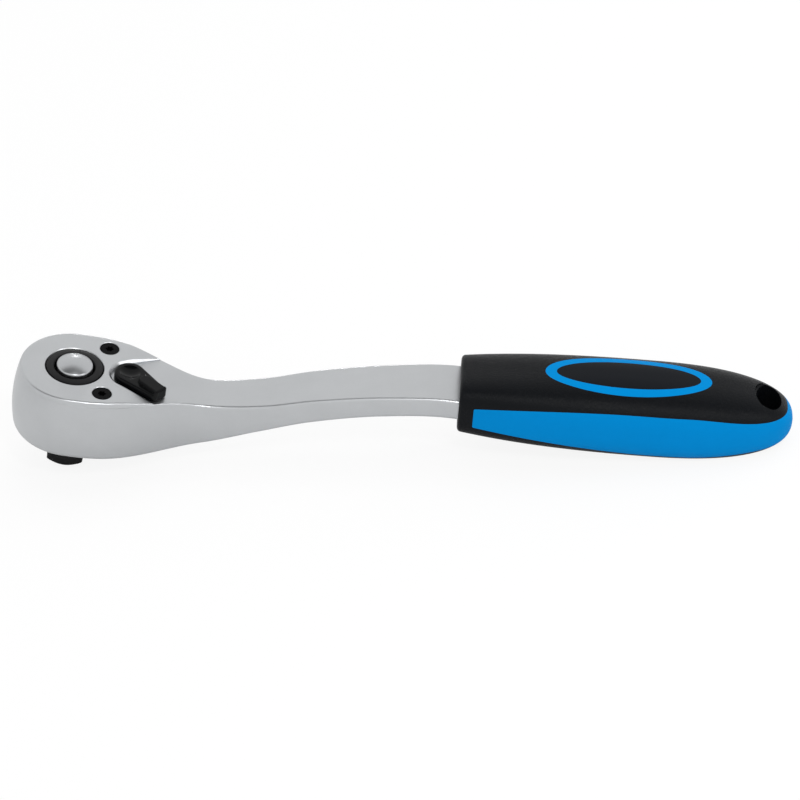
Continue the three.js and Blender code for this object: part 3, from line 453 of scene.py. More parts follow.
@dataclass
class Forging:
    """Head, cranked shank and tang in one piece, with the outline that the cover follows."""

    head: Head
    bulge: float = 1.3
    under_radius: float = 2.4
    hidden_radius: float = 0.05
    mouth_edge: float = 0.5
    neck_x: float = 54.0
    pear_power: float = 2.8
    pear_fade: float = 4.0
    neck_half_width: float = 8.5
    end_x: float = 134.8
    end_half_width: float = 10.75
    end_thickness: float = 8.4
    crank_rise: float = 25.5
    shank_top_radius: float = 1.1
    shank_under_radius: float = 1.5
    tang_half_width: float = 8.4
    tang_thickness: float = 6.8
    tang_length: float = 84.0
    tang_shoulder: float = 6.0
    tang_tip_share: float = 0.7
    grip_tilt: float = 4.15
    chamber_radius: float = 12.94
    chamber_back_x: float = 25.5
    web: float = 5.4
    nose_steps: int = 48
    stations: int = 150

    def __post_init__(self) -> None:
        """Makes the two curves of the crank along the shank's length."""
        self.crank = smooth_through([(0, 0), (0.2, 0.009), (0.353, 0.074), (0.495, 0.316), (0.626, 0.586),
                                     (0.807, 0.854), (1, 1)])
        self.thinning = smooth_through([(0, 1), (0.2, 0.97), (0.262, 0.872), (0.353, 0.58), (0.495, 0.235),
                                        (0.626, 0.11), (0.807, 0.027), (1, 0)])

    def half_width(self, x: Array) -> Array:
        """Plan half-width: a pear that necks in by powers of its length, then widens to the grip."""
        t = np.clip(x / self.neck_x, 0, 1)
        s = np.clip((x - self.neck_x) / (self.end_x - self.neck_x), 0, None)
        swell = (1 - t**self.pear_power) ** self.pear_fade
        neck = between(self.neck_half_width, self.head.radius, swell)
        return neck + (self.end_half_width - self.neck_half_width) * s

    def centre_height(self, x: Array) -> Array:
        """Middle height of the section, raised by the crank."""
        share = np.clip(x, 0, None) / self.end_x
        return self.head.bottom + self.head.depth / 2 + self.crank_rise * self.crank(share)

    def thickness(self, x: Array) -> Array:
        """Height of the section, thinning from head to shank."""
        share = np.clip(x, 0, None) / self.end_x
        return between(self.end_thickness, self.head.depth, self.thinning(share))

    def walls(self, x: Array, low: Array, high: Array, under: Array, top: Array,
              width: Optional[Array] = None) -> Tuple[Array, Array]:
        """Side profile at each station: a round under edge, a barrelled wall and a round top edge.

        Args:
            x: stations along the handle.
            low: under level at each station.
            high: top level at each station.
            under: under edge radius at each station.
            top: top edge radius at each station.
            width: half-width at each station, in place of the plan's own.

        Returns:
            Reach from the middle plane and height, as arrays of stations by profile points.
        """
        x, low, high, under, top = [np.broadcast_to(np.asarray(a, dtype=float), np.shape(x))[:, None]
                                    for a in (x, low, high, under, top)]
        turn = arc(0, 90, 8)
        climb = np.linspace(0, 1, 14)[1:-1]
        inset = np.concatenate([under * (1 - np.sin(turn)), 0 * x + 0 * climb,
                                top * (1 - np.cos(turn))], axis=1)
        z = np.concatenate([low + under * (1 - np.cos(turn)),
                            low + under + (high - top - low - under) * climb,
                            high - top * (1 - np.sin(turn))], axis=1)
        thick = self.thickness(x)
        barrel = (z - self.centre_height(x)) / (thick / 2)
        inset = inset + self.bulge * (thick / self.head.depth) ** 2 * barrel**2
        reach = (self.half_width(x) if width is None else np.asarray(width)[:, None]) - inset
        return reach, z

    @staticmethod
    def wrap(x: Array, reach: Array, z: Array) -> Array:
        """Closed rings: under middle, near wall upwards, top middle, far wall downwards."""
        x = np.broadcast_to(x[:, None], reach.shape)
        near = np.stack([x, -reach, z], axis=-1)
        far = np.stack([x, reach, z], axis=-1)[:, ::-1]
        under = near[:, :1] * (1, 0, 1)
        top = near[:, -1:] * (1, 0, 1)
        return np.concatenate([under, near, top, far], axis=1)

    def nose(self, low: float, high: float, under: float, top: float) -> Array:
        """Front rings: the profile at x = 0 turned a half turn about the drive axis."""
        angles = np.linspace(np.pi / 2, 0, self.nose_steps, endpoint=False)
        start = np.zeros(self.nose_steps)
        rings = self.wrap(start, *self.walls(start, low, high, under, top))
        turned_back = -np.abs(rings[..., 1]) * np.sin(angles)[:, None]
        return np.stack([turned_back, rings[..., 1] * np.cos(angles)[:, None], rings[..., 2]], axis=-1)

    def shank(self) -> Array:
        """Rings from the drive axis to the grip, then the tang's root, body and tip."""
        x = np.linspace(0, self.end_x, self.stations)
        past = smoothstep(self.head.lever_x, self.neck_x, x)
        half = self.thickness(x) / 2
        middle = self.centre_height(x)
        under = between(self.under_radius, self.shank_under_radius, past)
        top = between(self.hidden_radius, self.shank_top_radius, past)
        rings = self.wrap(x, *self.walls(x, middle - half, middle + half, under, top))
        root = rings[-1:] + (self.tang_shoulder / 2, 0, 0)
        places = np.array([self.tang_shoulder, self.tang_length - self.tang_thickness, self.tang_length])
        tang_x = self.end_x + places
        share = np.array([1, 1, self.tang_tip_share])
        axis = middle[-1] + places * math.tan(math.radians(self.grip_tilt))
        high = share * self.tang_thickness / 2
        corner = np.full(3, self.shank_top_radius)
        tang = self.wrap(tang_x, *self.walls(tang_x, axis - high, axis + high, corner, corner,
                                             share * self.tang_half_width))
        return np.concatenate([rings, root, tang, cap(tang[-1])])

    def chamber(self) -> Piece:
        """Cutter of the pawl's chamber: a round room about the lever axis with a flat back."""
        chord = math.degrees(math.acos((self.chamber_back_x - self.head.lever_x) / self.chamber_radius))
        outline = plan(self.chamber_radius, arc(chord, 360 - chord, 80), (self.head.lever_x, 0))
        return skin(column([outline, outline], [self.head.bore_floor, self.head.top - self.web]),
                    "chamber_cutter")

    def build(self, screws: "CoverScrews") -> Piece:
        """Forging with its bores, from the nose rings and the shank rings."""
        head = self.head
        front = self.nose(head.bottom, head.top, self.under_radius, self.hidden_radius)
        piece = skin(np.concatenate([front, self.shank()]), "forged_body")
        above = head.cover_top
        hole = head.journal_radius + head.gap
        mouth = hole + self.mouth_edge
        bore = head.gear_radius + head.gap
        carve(piece, skin(turned([
            (0, head.bottom - PAST), (mouth, head.bottom - JUST_PAST), (mouth, head.bottom),
            (hole, head.bottom + self.mouth_edge), (hole, head.bore_floor), (bore, head.bore_floor),
            (bore, above), (0, above)], 160), "bore_cutter"))
        carve(piece, self.chamber())
        stem = head.stem_radius + head.gap
        hub = head.lever_hub_radius + head.gap
        pilot = head.pilot_radius + head.gap
        pilot_floor = head.bore_floor - head.pilot_depth - head.gap
        step = head.top - head.lever_hub_depth
        carve(piece, skin(turned([
            (0, pilot_floor), (pilot, pilot_floor), (pilot, head.bore_floor), (stem, head.bore_floor),
            (stem, step), (hub, step), (hub, above), (0, above)], 96, (head.lever_x, 0)), "stem_cutter"))
        for side in (-1, 1):
            carve(piece, screws.hole(side, "thread_cutter"))
        return piece

    def dress(self, screws: "CoverScrews") -> None:
        """Builds the forging and plates it."""
        dress(self.build(screws), SATIN_CHROME, "handle", "body")


@dataclass
class CoverPlate:
    """Plate on the head: hub hole, countersunk holes and a pocket round the lever."""

    forging: Forging
    edge_radius: float = 0.8
    ear_thickness: float = 0.4
    ear_start: float = 17.0
    ear_end: float = 31.0
    pocket_radius: float = 6.5
    pocket_angle: float = 29.0
    pocket_slope: float = 1.05
    pocket_wall: float = 0.55
    pocket_past: float = 1.2
    hub_edge: float = 0.25
    stations: int = 70

    def top_level(self, x: Array) -> Array:
        """Top of the plate: level over the hub, then falling along the ears to the shank."""
        fall = (self.forging.head.cover - self.ear_thickness) * smoothstep(self.ear_start, self.ear_end, x)
        return self.forging.head.cover_top - fall

    def pocket(self) -> Piece:
        """Pocket cutter: a round seat whose sides run out at the lever's stops, sloping up to the top."""
        head = self.forging.head
        tangent = 90 + self.pocket_angle
        turn = arc(tangent, 360 - tangent, 72)
        away = np.array([math.sin(math.radians(tangent)), math.cos(math.radians(tangent))])
        run = np.linspace(0, 2 * head.radius, 60)[1:, None] * away
        seat = plan(self.pocket_radius, turn, (head.lever_x, 0))
        outline = np.concatenate([seat, seat[-1] + run, (seat[0] + run * (1, -1))[::-1]])
        outward = np.concatenate([plan(1, turn), np.repeat(plan(1, turn[-1:]), len(run), axis=0),
                                  np.repeat(plan(1, turn[:1]), len(run), axis=0)])
        plate = (self.top_level(outline[:, 0]) - head.top)[:, None]
        past = self.pocket_past
        lean = self.pocket_slope * (past - self.pocket_wall)
        steps = [(-1, 0), (self.pocket_wall, 0), (past, lean), (2 * past, lean)]
        rows = [np.column_stack([outline + outward * plate * slope, head.top + plate * share])
                for share, slope in steps]
        return skin(capped(rows), "pocket_cutter")

    def build(self, screws: "CoverScrews") -> Piece:
        """Plate with the head's own outline, cut through."""
        form = self.forging
        head = form.head
        front = form.nose(head.top, head.cover_top, form.hidden_radius, self.edge_radius)
        x = np.linspace(0, self.ear_end, self.stations)
        top = self.top_level(x)
        edge = np.minimum(self.edge_radius, (top - head.top) / 2)
        back = form.wrap(x, *form.walls(x, head.top, top, form.hidden_radius, edge))
        piece = skin(np.concatenate([front, back, cap(back[-1])]), "head_cover")
        hub = head.hub_radius + head.gap
        above = head.cover_top + JUST_PAST
        carve(piece, skin(turned([
            (0, head.top - PAST), (hub, head.top - PAST), (hub, head.cover_top - self.hub_edge),
            (hub + self.hub_edge + JUST_PAST, above), (0, above)], 160), "hub_cutter"))
        carve(piece, self.pocket())
        for side in (-1, 1):
            carve(piece, screws.hole(side, "countersink_cutter"))
        return piece

    def dress(self, screws: "CoverScrews") -> None:
        """Builds the plate and plates it."""
        dress(self.build(screws), SATIN_CHROME, "handle", "cover_plate")


@dataclass
class CoverScrews:
    """Two black countersunk screws with six-lobed recesses."""

    head: Head
    x: float = 11.0
    y: float = 12.75
    head_radius: float = 3.5
    shank_radius: float = 1.75
    length: float = 6.8
    sunk: float = 0.12
    edge: float = 0.2
    foot_edge: float = 0.4
    fit: float = 0.12
    flare: float = 0.3
    flare_rise: float = 0.05
    key_radius: float = 1.25
    key_lobe: float = 0.16
    key_depth: float = 1.4
    key_land: float = 0.5
    key_edge: float = 0.12
    key_edge_depth: float = 0.15
    key_point: float = 0.3
    lobes: int = 6

    def hole(self, side: int, name: str) -> Piece:
        """Cutter of a screw's hole: the screw's own cone and shank, grown by a small fit."""
        top = self.head.cover_top
        wide = self.head_radius + self.fit
        shank = self.shank_radius + self.fit
        low = top - self.length - self.head.gap
        mouth = wide + self.flare
        profile = [(0, low), (shank, low), (shank, top - (wide - shank)), (wide, top),
                   (mouth, top + self.flare_rise), (mouth, top + PAST), (0, top + PAST)]
        return skin(turned(profile, 72, (self.x, side * self.y)), name)

    def build(self, side: int, name: str) -> Piece:
        """Turned screw whose recess is a circle waved by six lobes, with a dished floor."""
        top = self.head.cover_top - self.sunk
        foot = top - self.length
        floor = top - self.key_depth
        turn = full_turn(144)
        wave = 1 + self.key_lobe * np.cos(self.lobes * turn)
        rows = [(0, foot), (self.shank_radius - self.foot_edge, foot),
                (self.shank_radius, foot + self.foot_edge),
                (self.shank_radius, top - (self.head_radius - self.shank_radius)),
                (self.head_radius, top - self.edge), (self.head_radius - self.edge / 2, top),
                (self.key_radius + self.key_land, top), ((self.key_radius + self.key_edge) * wave, top),
                (self.key_radius * wave, top - self.key_edge_depth), (self.key_radius * wave, floor),
                (0, floor - self.key_point)]
        return skin(np.stack([at_level(plan(radius, turn, (self.x, side * self.y)), level)
                              for radius, level in rows]), name)

    def dress(self) -> None:
        """Builds both screws in black."""
        for node, side in (("cover_screw_left", 1), ("cover_screw_right", -1)):
            dress(self.build(side, node + "_turned"), BLACK_SCREW, "handle", node)


@dataclass
class DriveGear:
    """Gear with its drive square, hub ring and release bores as one turned and toothed surface."""

    head: Head
    square: float = 12.7
    corner_power: float = 13.0
    tip_chamfer: float = 1.0
    tip_inset: float = 0.35
    tip_past: float = 0.05
    tip_lift: float = 0.02
    teeth: int = 48
    tooth_depth: float = 1.0
    face_width: float = 11.4
    groove_radius: float = 7.5
    groove_half: float = 1.05
    collar_top: float = 37.0
    hub_edge: float = 0.45
    ease: float = 0.3
    counterbore_radius: float = 7.2
    counterbore_floor: float = 35.65
    spring_bore_radius: float = 4.6
    spring_bore_floor: float = 30.85
    rod_bore_radius: float = 2.9
    tip_wall: float = 0.7
    ball_hole_radius: float = 2.6
    ball_hole_start: float = 1.0
    ball_hole_edge: float = 0.25
    ball_hole_past: float = 0.35
    steps_per_tooth: int = 10

    def square_rows(self, turn: Array) -> List[Tuple[Array, float]]:
        """Rows up the square: a squarish superellipse whose tip corners are eased by a cone."""
        half = self.square / 2
        full = half / (np.abs(np.cos(turn)) ** self.corner_power
                       + np.abs(np.sin(turn)) ** self.corner_power) ** (1 / self.corner_power)
        start = half - self.tip_inset
        growth = full.max() + self.tip_past - start
        rows = [(0, 0), (np.minimum(full, start), 0)]
        for share in np.linspace(0, 1, 6)[1:]:
            level = self.tip_lift + 2 * self.tip_chamfer * share
            rows.append((np.minimum(full, start + growth * share), level))
        return [*rows, (full, self.head.bottom)]

    def build(self) -> Piece:
        """One skin from the square's tip out over the teeth to the hub and down the bores."""
        head = self.head
        turn = full_turn(self.teeth * self.steps_per_tooth)
        phase = turn * self.teeth / (2 * np.pi) % 1
        saw = head.gear_radius - self.tooth_depth * (1 - np.abs(2 * phase - 1))
        gear_low = head.bore_floor + head.gap
        gear_high = gear_low + self.face_width
        groove_low = (head.bottom + head.bore_floor) / 2 - self.groove_half
        groove_high = groove_low + 2 * self.groove_half
        journal = head.journal_radius
        ease = self.ease
        rows = self.square_rows(turn) + [
            (journal - ease, head.bottom), (journal, head.bottom + ease),
            (journal, groove_low), (self.groove_radius, groove_low), (self.groove_radius, groove_high),
            (journal, groove_high), (journal, gear_low), (saw, gear_low), (saw, gear_high),
            (head.gear_radius, gear_high), (head.gear_radius, self.collar_top),
            (head.hub_radius, self.collar_top), (head.hub_radius, head.hub_top - self.hub_edge),
            (head.hub_radius - self.hub_edge / 3, head.hub_top - self.hub_edge / 3),
            (head.hub_radius - self.hub_edge, head.hub_top),
            (self.counterbore_radius + ease, head.hub_top), (self.counterbore_radius, head.hub_top - ease),
            (self.counterbore_radius, self.counterbore_floor),
            (self.spring_bore_radius, self.counterbore_floor),
            (self.spring_bore_radius, self.spring_bore_floor),
            (self.rod_bore_radius, self.spring_bore_floor), (self.rod_bore_radius, self.tip_wall),
            (0, self.tip_wall)]
        piece = skin(np.stack([at_level(plan(radius, turn), level) for radius, level in rows]),
                     "gear_and_square")
        radius = self.ball_hole_radius
        mouth = self.square / 2 - self.ball_hole_edge
        past = self.square / 2 + self.ball_hole_past
        hole = turned([(0, self.ball_hole_start), (radius, self.ball_hole_start), (radius, mouth),
                       (radius + past - mouth, past), (0, past)], 64)
        carve(piece, skin(laid(hole, head.ball_z, 1), "ball_hole_cutter"))
        return piece

    def dress(self) -> None:
        """Builds the gear in black."""
        dress(self.build(), BLACK_OXIDE, "drive", "drive_gear")


@dataclass
class ThumbLever:
    """Black reversing lever: a dished disc with a raised pad, on a stem through the head."""

    head: Head
    rest_angle: float = -39.0
    taper: float = 10.0
    disc_radius: float = 5.5
    length: float = 15.4
    tip_half_width: float = 3.5
    disc_height: float = 2.7
    tab_height: float = 4.5
    dish_radius: float = 6.4
    dish_depth: float = 1.2
    edge: float = 0.8
    under_edge: float = 0.2
    soft: float = 0.1
    pad_start: float = 5.0
    pad_ledge: float = 1.0
    pad_slope: float = 0.55
    clip_z: float = 32.25
    clip_half: float = 0.75
    clip_groove: float = 0.8
    bore_radius: float = 1.5
    bore_z: float = 25.8
    bore_start: float = 0.2
    bore_reach: float = 4.4
    middle_x: float = 3.5

    def outline(self, margin: float) -> Array:
        """Pear outline shrunk by a margin: disc arc, two straight sides and a tip with round corners."""
        radius = self.disc_radius - margin
        half = self.tip_half_width - margin
        tip = self.length - margin
        corner = half / 2
        lean = 90 - self.taper
        disc = plan(radius, arc(lean, 360 - lean, 72))
        near_corner = plan(corner, arc(-90, 0, 10), (tip - corner, corner - half))
        far_corner = plan(corner, arc(0, 90, 10), (tip - corner, half - corner))
        share = np.linspace(0, 1, 18)[1:-1, None]
        near_side = between(disc[-1], near_corner[0], share)
        far_side = between(far_corner[-1], disc[0], share)
        end = between(near_corner[-1], far_corner[0], np.linspace(0, 1, 8)[1:-1, None])
        return np.concatenate([disc, near_side, near_corner, end, far_corner, far_side])

    def top_level(self, place: Array) -> Array:
        """Top surface: a flat disc with a ball-shaped dish, and a raised pad with a round inner end."""
        x, y = place[..., 0], place[..., 1]
        tab = self.head.top + self.tab_height
        disc = self.head.top + self.head.gap + self.disc_height
        drop = np.sqrt(np.clip(self.dish_radius**2 - x**2 - y**2, 0, None))
        dish = disc - self.dish_depth + self.dish_radius - drop
        blend = np.clip(0.5 + (dish - disc) / (2 * self.soft), 0, 1)
        floor = between(dish, disc, blend) - self.soft * blend * (1 - blend)
        half = self.tip_half_width - self.pad_ledge
        inside = half - np.hypot(np.clip(self.pad_start + half - x, 0, None), y)
        shoulder = 1 - np.clip(inside / self.pad_slope, 0, 1)
        return between(floor, tab, (1 - shoulder**3) * (inside > 0))

    def build(self) -> Piece:
        """Rings out over the top, round the edge, in under the thumb piece and down the stem."""
        head = self.head
        base = head.top + head.gap
        middle = np.array([self.middle_x, 0])
        inner = self.outline(self.edge)
        rows = []
        for share in np.linspace(0, 1, 96):
            place = between(middle, inner, share)
            rows.append(at_level(place, self.top_level(place)))
        edge_top = self.top_level(inner)
        for turn in arc(0, 90, 7)[1:]:
            place = self.outline(self.edge * (1 - math.sin(turn)))
            rows.append(at_level(place, edge_top - self.edge * (1 - math.cos(turn))))
        outer = self.outline(0)
        rows.append(at_level(outer, base + self.under_edge))
        rows.append(at_level(self.outline(self.under_edge), base))
        around = np.arctan2(outer[:, 1], outer[:, 0])
        groove = head.stem_radius - self.clip_groove
        clip_low, clip_high = self.clip_z - self.clip_half, self.clip_z + self.clip_half
        step = head.top - head.lever_hub_depth + head.gap
        pawl_floor = head.bore_floor + head.gap
        foot = head.bore_floor - head.pilot_depth
        stem = [(head.lever_hub_radius, base), (head.lever_hub_radius, step), (head.stem_radius, step),
                (head.stem_radius, clip_high), (groove, clip_high), (groove, clip_low),
                (head.stem_radius, clip_low), (head.stem_radius, pawl_floor),
                (head.pilot_radius, pawl_floor), (head.pilot_radius, foot), (0, foot)]
        rows += [at_level(plan(radius, around), level) for radius, level in stem]
        piece = skin(self.placed(np.array(rows)), "thumb_lever")
        bore = turned([(0, self.bore_start), (self.bore_radius, self.bore_start),
                       (self.bore_radius, self.bore_reach), (0, self.bore_reach)], 48)
        carve(piece, skin(self.placed(laid(bore, self.bore_z, -1)), "plunger_bore_cutter"))
        return piece

    def placed(self, points: Array) -> Array:
        """Points turned to the lever's rest angle and moved onto its axis."""
        turn = math.radians(self.rest_angle)
        x = points[..., 0] * math.cos(turn) - points[..., 1] * math.sin(turn) + self.head.lever_x
        y = points[..., 0] * math.sin(turn) + points[..., 1] * math.cos(turn)
        return np.stack([x, y, points[..., 2]], axis=-1)

    def dress(self) -> None:
        """Builds the lever in black enamel."""
        dress(self.build(), BLACK_LEVER, "lever", "reversing_lever")


@dataclass
class QuickRelease:
    """Domed release button, and the ball in the square's side."""

    head: Head
    radius: float = 6.9
    proud: float = 1.0
    dome: float = 2.0
    skirt: float = 3.2
    edge: float = 0.9
    skirt_edge: float = 0.2
    socket_radius: float = 2.9
    socket_depth: float = 1.6
    ball_radius: float = 2.3
    ball_x: float = 5.25

    def button(self) -> Piece:
        """Turned button: a parabolic dome, a round edge, a plain skirt and the rod's socket."""
        top = self.head.hub_top + self.proud
        low = top - self.skirt
        rim = self.radius - self.edge
        share = np.linspace(0, 1, 24)
        dome = np.column_stack([rim * share, top + self.dome * (1 - share**2)])
        slope = math.degrees(math.atan(2 * self.dome / rim))
        turn = arc(90 - slope, 0, 10)
        centre = (rim - self.edge * math.cos(turn[0]), top - self.edge * math.sin(turn[0]))
        edge = plan(self.edge, turn, centre)
        wall = edge[-1, 0]
        inside = [(wall, low + self.skirt_edge), (wall - self.skirt_edge, low), (self.socket_radius, low),
                  (self.socket_radius, low + self.socket_depth), (0, low + self.socket_depth)]
        return skin(turned(np.concatenate([dome, edge[1:], inside]), 128), "domed_button")

    def ball(self) -> Piece:
        """Ball turned from a half circle."""
        profile = plan(self.ball_radius, arc(-90, 90, 32), (0, self.head.ball_z))
        return skin(turned(profile, 64, (self.ball_x, 0)), "bright_ball")

    def dress(self) -> None:
        """Builds the button and the ball."""
        dress(self.button(), BUTTON_CHROME, "button", "release_button")
        dress(self.ball(), BRIGHT_STEEL, "ball", "lock_ball")


@dataclass
class Grip:
    """Two-colour moulded grip: black core, blue band, blue oval ring and a bare black inlay."""

    forging: Forging
    length: float = 117.4
    front_half_width: float = 13.0
    front_half_height: float = 10.0
    half_width: float = 17.28
    half_height: float = 14.2
    swell: float = 62.0
    tail_start: float = 65.0
    tail_power: float = 2.55
    tail_close: float = 0.41
    arch: float = 1.1
    front_radius: float = 1.2
    front_power: float = 4.0
    full_power: float = 2.7
    band_front: float = 5.2
    band_front_top: float = 3.9
    band_front_under: float = 4.2
    band_top: float = 8.1
    band_top_ease: float = 1.9
    band_under: float = 9.3
    band_under_ease: float = 1.15
    band_growth: float = 58.0
    band_tail_drop_top: float = 2.4
    band_tail_drop_under: float = 3.4
    band_tail_length: float = 38.0
    band_tail_end: float = 5.0
    band_depth: float = 2.2
    band_corner: float = 0.6
    oval_x: float = 58.4
    oval_length: float = 58.3
    oval_width: float = 20.8
    oval_ring_lengthwise: float = 3.9
    oval_ring_crosswise: float = 3.2
    oval_depth: float = 1.4
    hole_x: float = 108.1
    hole_length: float = 9.0
    hole_width: float = 13.2
    hole_rim: float = 0.7
    hole_wall: float = 0.9
    seam: float = 0.05
    tang_fit: float = 0.04
    tang_overlap: float = 4.0
    sides: int = 176

    def placed(self, points: Array) -> Array:
        """Grip coordinates (along, across, up) turned by the grip's climb and moved to the shank's end."""
        form = self.forging
        climb = math.radians(form.grip_tilt)
        end_z = float(form.centre_height(np.array(form.end_x)))
        along, across, up = np.moveaxis(points, -1, 0)
        return np.stack([form.end_x + along * math.cos(climb) - up * math.sin(climb), across,
                         end_z + along * math.sin(climb) + up * math.cos(climb)], axis=-1)

    def rings(self, u: Array, inset: float) -> Array:
        """Superellipse rings: the collar is squarish, the middle swells, the tail closes round."""
        ease = 1 - (1 - np.clip(u / self.swell, 0, 1)) ** 2
        tail = np.clip((u - self.tail_start) / (self.length - inset - self.tail_start), 0, 1)
        close = np.clip(1 - tail**self.tail_power, 0, None) ** self.tail_close
        nose = np.clip(self.front_radius - u, 0, self.front_radius)
        shrink = inset + self.front_radius - np.sqrt(self.front_radius**2 - nose**2)
        w = (between(self.front_half_width, self.half_width, ease) - shrink) * close
        h = (between(self.front_half_height, self.half_height, ease) - shrink) * close
        power = between(self.front_power, self.full_power, ease)[:, None]
        bow = self.arch * (u / self.length - 0.5) ** 2 - self.arch / 4
        turn = full_turn(self.sides) + np.pi / self.sides
        c, s = np.cos(turn), np.sin(turn)
        across = w[:, None] * np.sign(c) * np.abs(c) ** (2 / power)
        up = bow[:, None] + h[:, None] * np.sign(s) * np.abs(s) ** (2 / power)
        along = np.broadcast_to(u[:, None], across.shape)
        return np.stack([along, across, up], axis=-1)

    def shell(self, inset: float, name: str) -> Piece:
        """Closed grip form, its whole surface moved in by an inset."""
        front = self.front_radius * (1 - np.cos(arc(0, 90, 8)))
        middle = np.linspace(self.front_radius, self.tail_start, 50)[1:]
        tail_span = self.length - inset - self.tail_start
        tail = self.tail_start + tail_span * np.sin(arc(0, 90, 48)[1:])
        rings = self.rings(np.concatenate([front, middle, tail]), inset)
        return skin(self.placed(np.concatenate([cap(rings[0]), rings])), name)

    def band_edge(self, u: Array, front: float, full: float, ease: float, drop: float) -> Array:
        """Height of a band edge: it grows from the blunt front and draws in again towards the tail."""
        growth = np.clip((u - self.band_front) / self.band_growth, 0, 1)
        tail = smoothstep(self.length - self.band_tail_length, self.length - self.band_tail_end, u)
        return between(front, full, 1 - (1 - growth) ** ease) - drop * tail

    def band_tool(self, margin: float) -> Piece:
        """Side outline of the band carried across, with a blunt front and rounded front corners."""
        corner = self.band_corner
        u = np.append(np.linspace(self.band_front + corner, self.length, 70), self.length + self.band_depth)
        top = margin + self.band_edge(u, self.band_front_top, self.band_top, self.band_top_ease,
                                      self.band_tail_drop_top)
        under = -margin - self.band_edge(u, self.band_front_under, self.band_under, self.band_under_ease,
                                         self.band_tail_drop_under)
        turn = arc(0, 90, 6)[1:]
        front = self.band_front - margin + corner * (1 - np.sin(turn))
        rise = corner * (1 - np.cos(turn))
        outline = np.concatenate([np.column_stack([front, under[0] + rise])[::-1],
                                  np.column_stack([u, under]), np.column_stack([u, top])[::-1],
                                  np.column_stack([front, top[0] - rise])])
        reach = self.half_width + self.band_depth
        sides = column([outline, outline], [-reach, reach])
        return skin(self.placed(sides[..., [0, 2, 1]]), "band_cutter")

    def ellipse(self, centre: float, length: float, width: float, segments: int) -> Array:
        """Plan ellipse on the grip's middle line."""
        turn = full_turn(segments)
        return np.column_stack([centre + length / 2 * np.cos(turn), width / 2 * np.sin(turn)])

    def oval_tool(self, inset: float = 0.0, inner: bool = False, low: float = 0.0) -> Piece:
        """Elliptical column above the grip's axis.

        Args:
            inset: how far the ellipse lies inside its outline.
            inner: takes the ring's inner outline in place of its outer one.
            low: the column's foot over the axis.

        Returns:
            The cutter.
        """
        length = self.oval_length - 2 * inner * self.oval_ring_lengthwise - 2 * inset
        width = self.oval_width - 2 * inner * self.oval_ring_crosswise - 2 * inset
        outline = self.ellipse(self.oval_x, length, width, 160)
        return skin(self.placed(column([outline, outline], [low, 2 * self.half_height])), "oval_cutter")

    def hole_tool(self, wall: float = 0.0) -> Piece:
        """Hang hole cutter: an elliptical column that flares to each face, grown by a wall."""
        heights = self.rings(np.array([self.hole_x]), 0.0)[..., 2]
        face, floor = float(heights.max()), float(heights.min())
        rim = self.hole_rim
        swing = arc(0, 90, 10)
        upper = [(face - rim + rim * math.sin(a), rim * (1 - math.cos(a))) for a in swing]
        lower = [(floor + rim - rim * math.sin(a), rim * (1 - math.cos(a))) for a in swing[::-1]]
        beyond = self.half_height
        steps = [(floor - beyond, rim), *lower, *upper, (face + beyond, rim)]
        outlines = [self.ellipse(self.hole_x, self.hole_length + 2 * (wall + grow),
                                 self.hole_width + 2 * (wall + grow), 96) for _, grow in steps]
        points = column(outlines, [level for level, _ in steps])
        return skin(self.placed(points), "hang_hole_cutter")

    def layer(self, name: str, over: float, depth: float, tool: Piece) -> Piece:
        """Part of the grip's outer layer within a cutter.

        Args:
            name: the layer's name.
            over: how far the layer passes the grip's surface.
            depth: how deep it goes.
            tool: the cutter whose space is kept.

        Returns:
            The layer.
        """
        piece = self.shell(-over, name)
        carve(piece, self.shell(depth, name + "_inside"))
        carve(piece, tool, Cut.KEEP)
        return piece

    def build(self) -> Dict[str, Piece]:
        """Four mouldings cut from the same grip form, parted by a hairline seam."""
        seam = self.seam
        core = self.shell(0.0, "grip_core_moulding")
        seat = self.layer("band_seat", PAST, self.band_depth + seam, self.band_tool(seam))
        carve(seat, self.hole_tool(self.hole_wall - seam))
        carve(core, seat)
        carve(core, self.layer("oval_seat", PAST, self.oval_depth + seam, self.oval_tool(-seam)))
        carve(core, self.hole_tool())
        carve(core, self.tang_socket())
        band = self.layer("grip_band_moulding", 0.0, self.band_depth, self.band_tool(0.0))
        carve(band, self.hole_tool(self.hole_wall))
        ring = self.layer("grip_oval_moulding", 0.0, self.oval_depth, self.oval_tool())
        carve(ring, self.oval_tool(inner=True, low=-PAST))
        panel = self.layer("grip_oval_inlay", 0.0, self.oval_depth, self.oval_tool(seam, inner=True))
        return {"core": core, "band": band, "ring": ring, "panel": panel}

    def tang_socket(self) -> Piece:
        """Cutter of the room that the shank's end and the tang fill in the core."""
        fit = self.tang_fit
        rings = self.forging.shank()
        rings = rings[rings[:, 0, 0] > self.forging.end_x - self.tang_overlap]
        middle = (rings[..., 2].max(axis=1) + rings[..., 2].min(axis=1))[:, None] / 2
        grown = np.stack([rings[..., 0], rings[..., 1] + fit * np.sign(rings[..., 1]),
                          rings[..., 2] + fit * np.sign(rings[..., 2] - middle)], axis=-1)
        grown[-1, :, 0] += fit
        return skin(np.concatenate([cap(grown[0]), grown]), "tang_cutter")

    def dress(self) -> None:
        """Builds the mouldings in their two colours."""
        pieces = self.build()
        dress(pieces["core"], BLACK_GRIP, "handle", "grip_core")
        dress(pieces["band"], BLUE_GRIP, "handle", "grip_band")
        dress(pieces["ring"], BLUE_GRIP, "handle", "grip_oval_ring")
        dress(pieces["panel"], BLACK_PANEL, "handle", "grip_oval_panel")


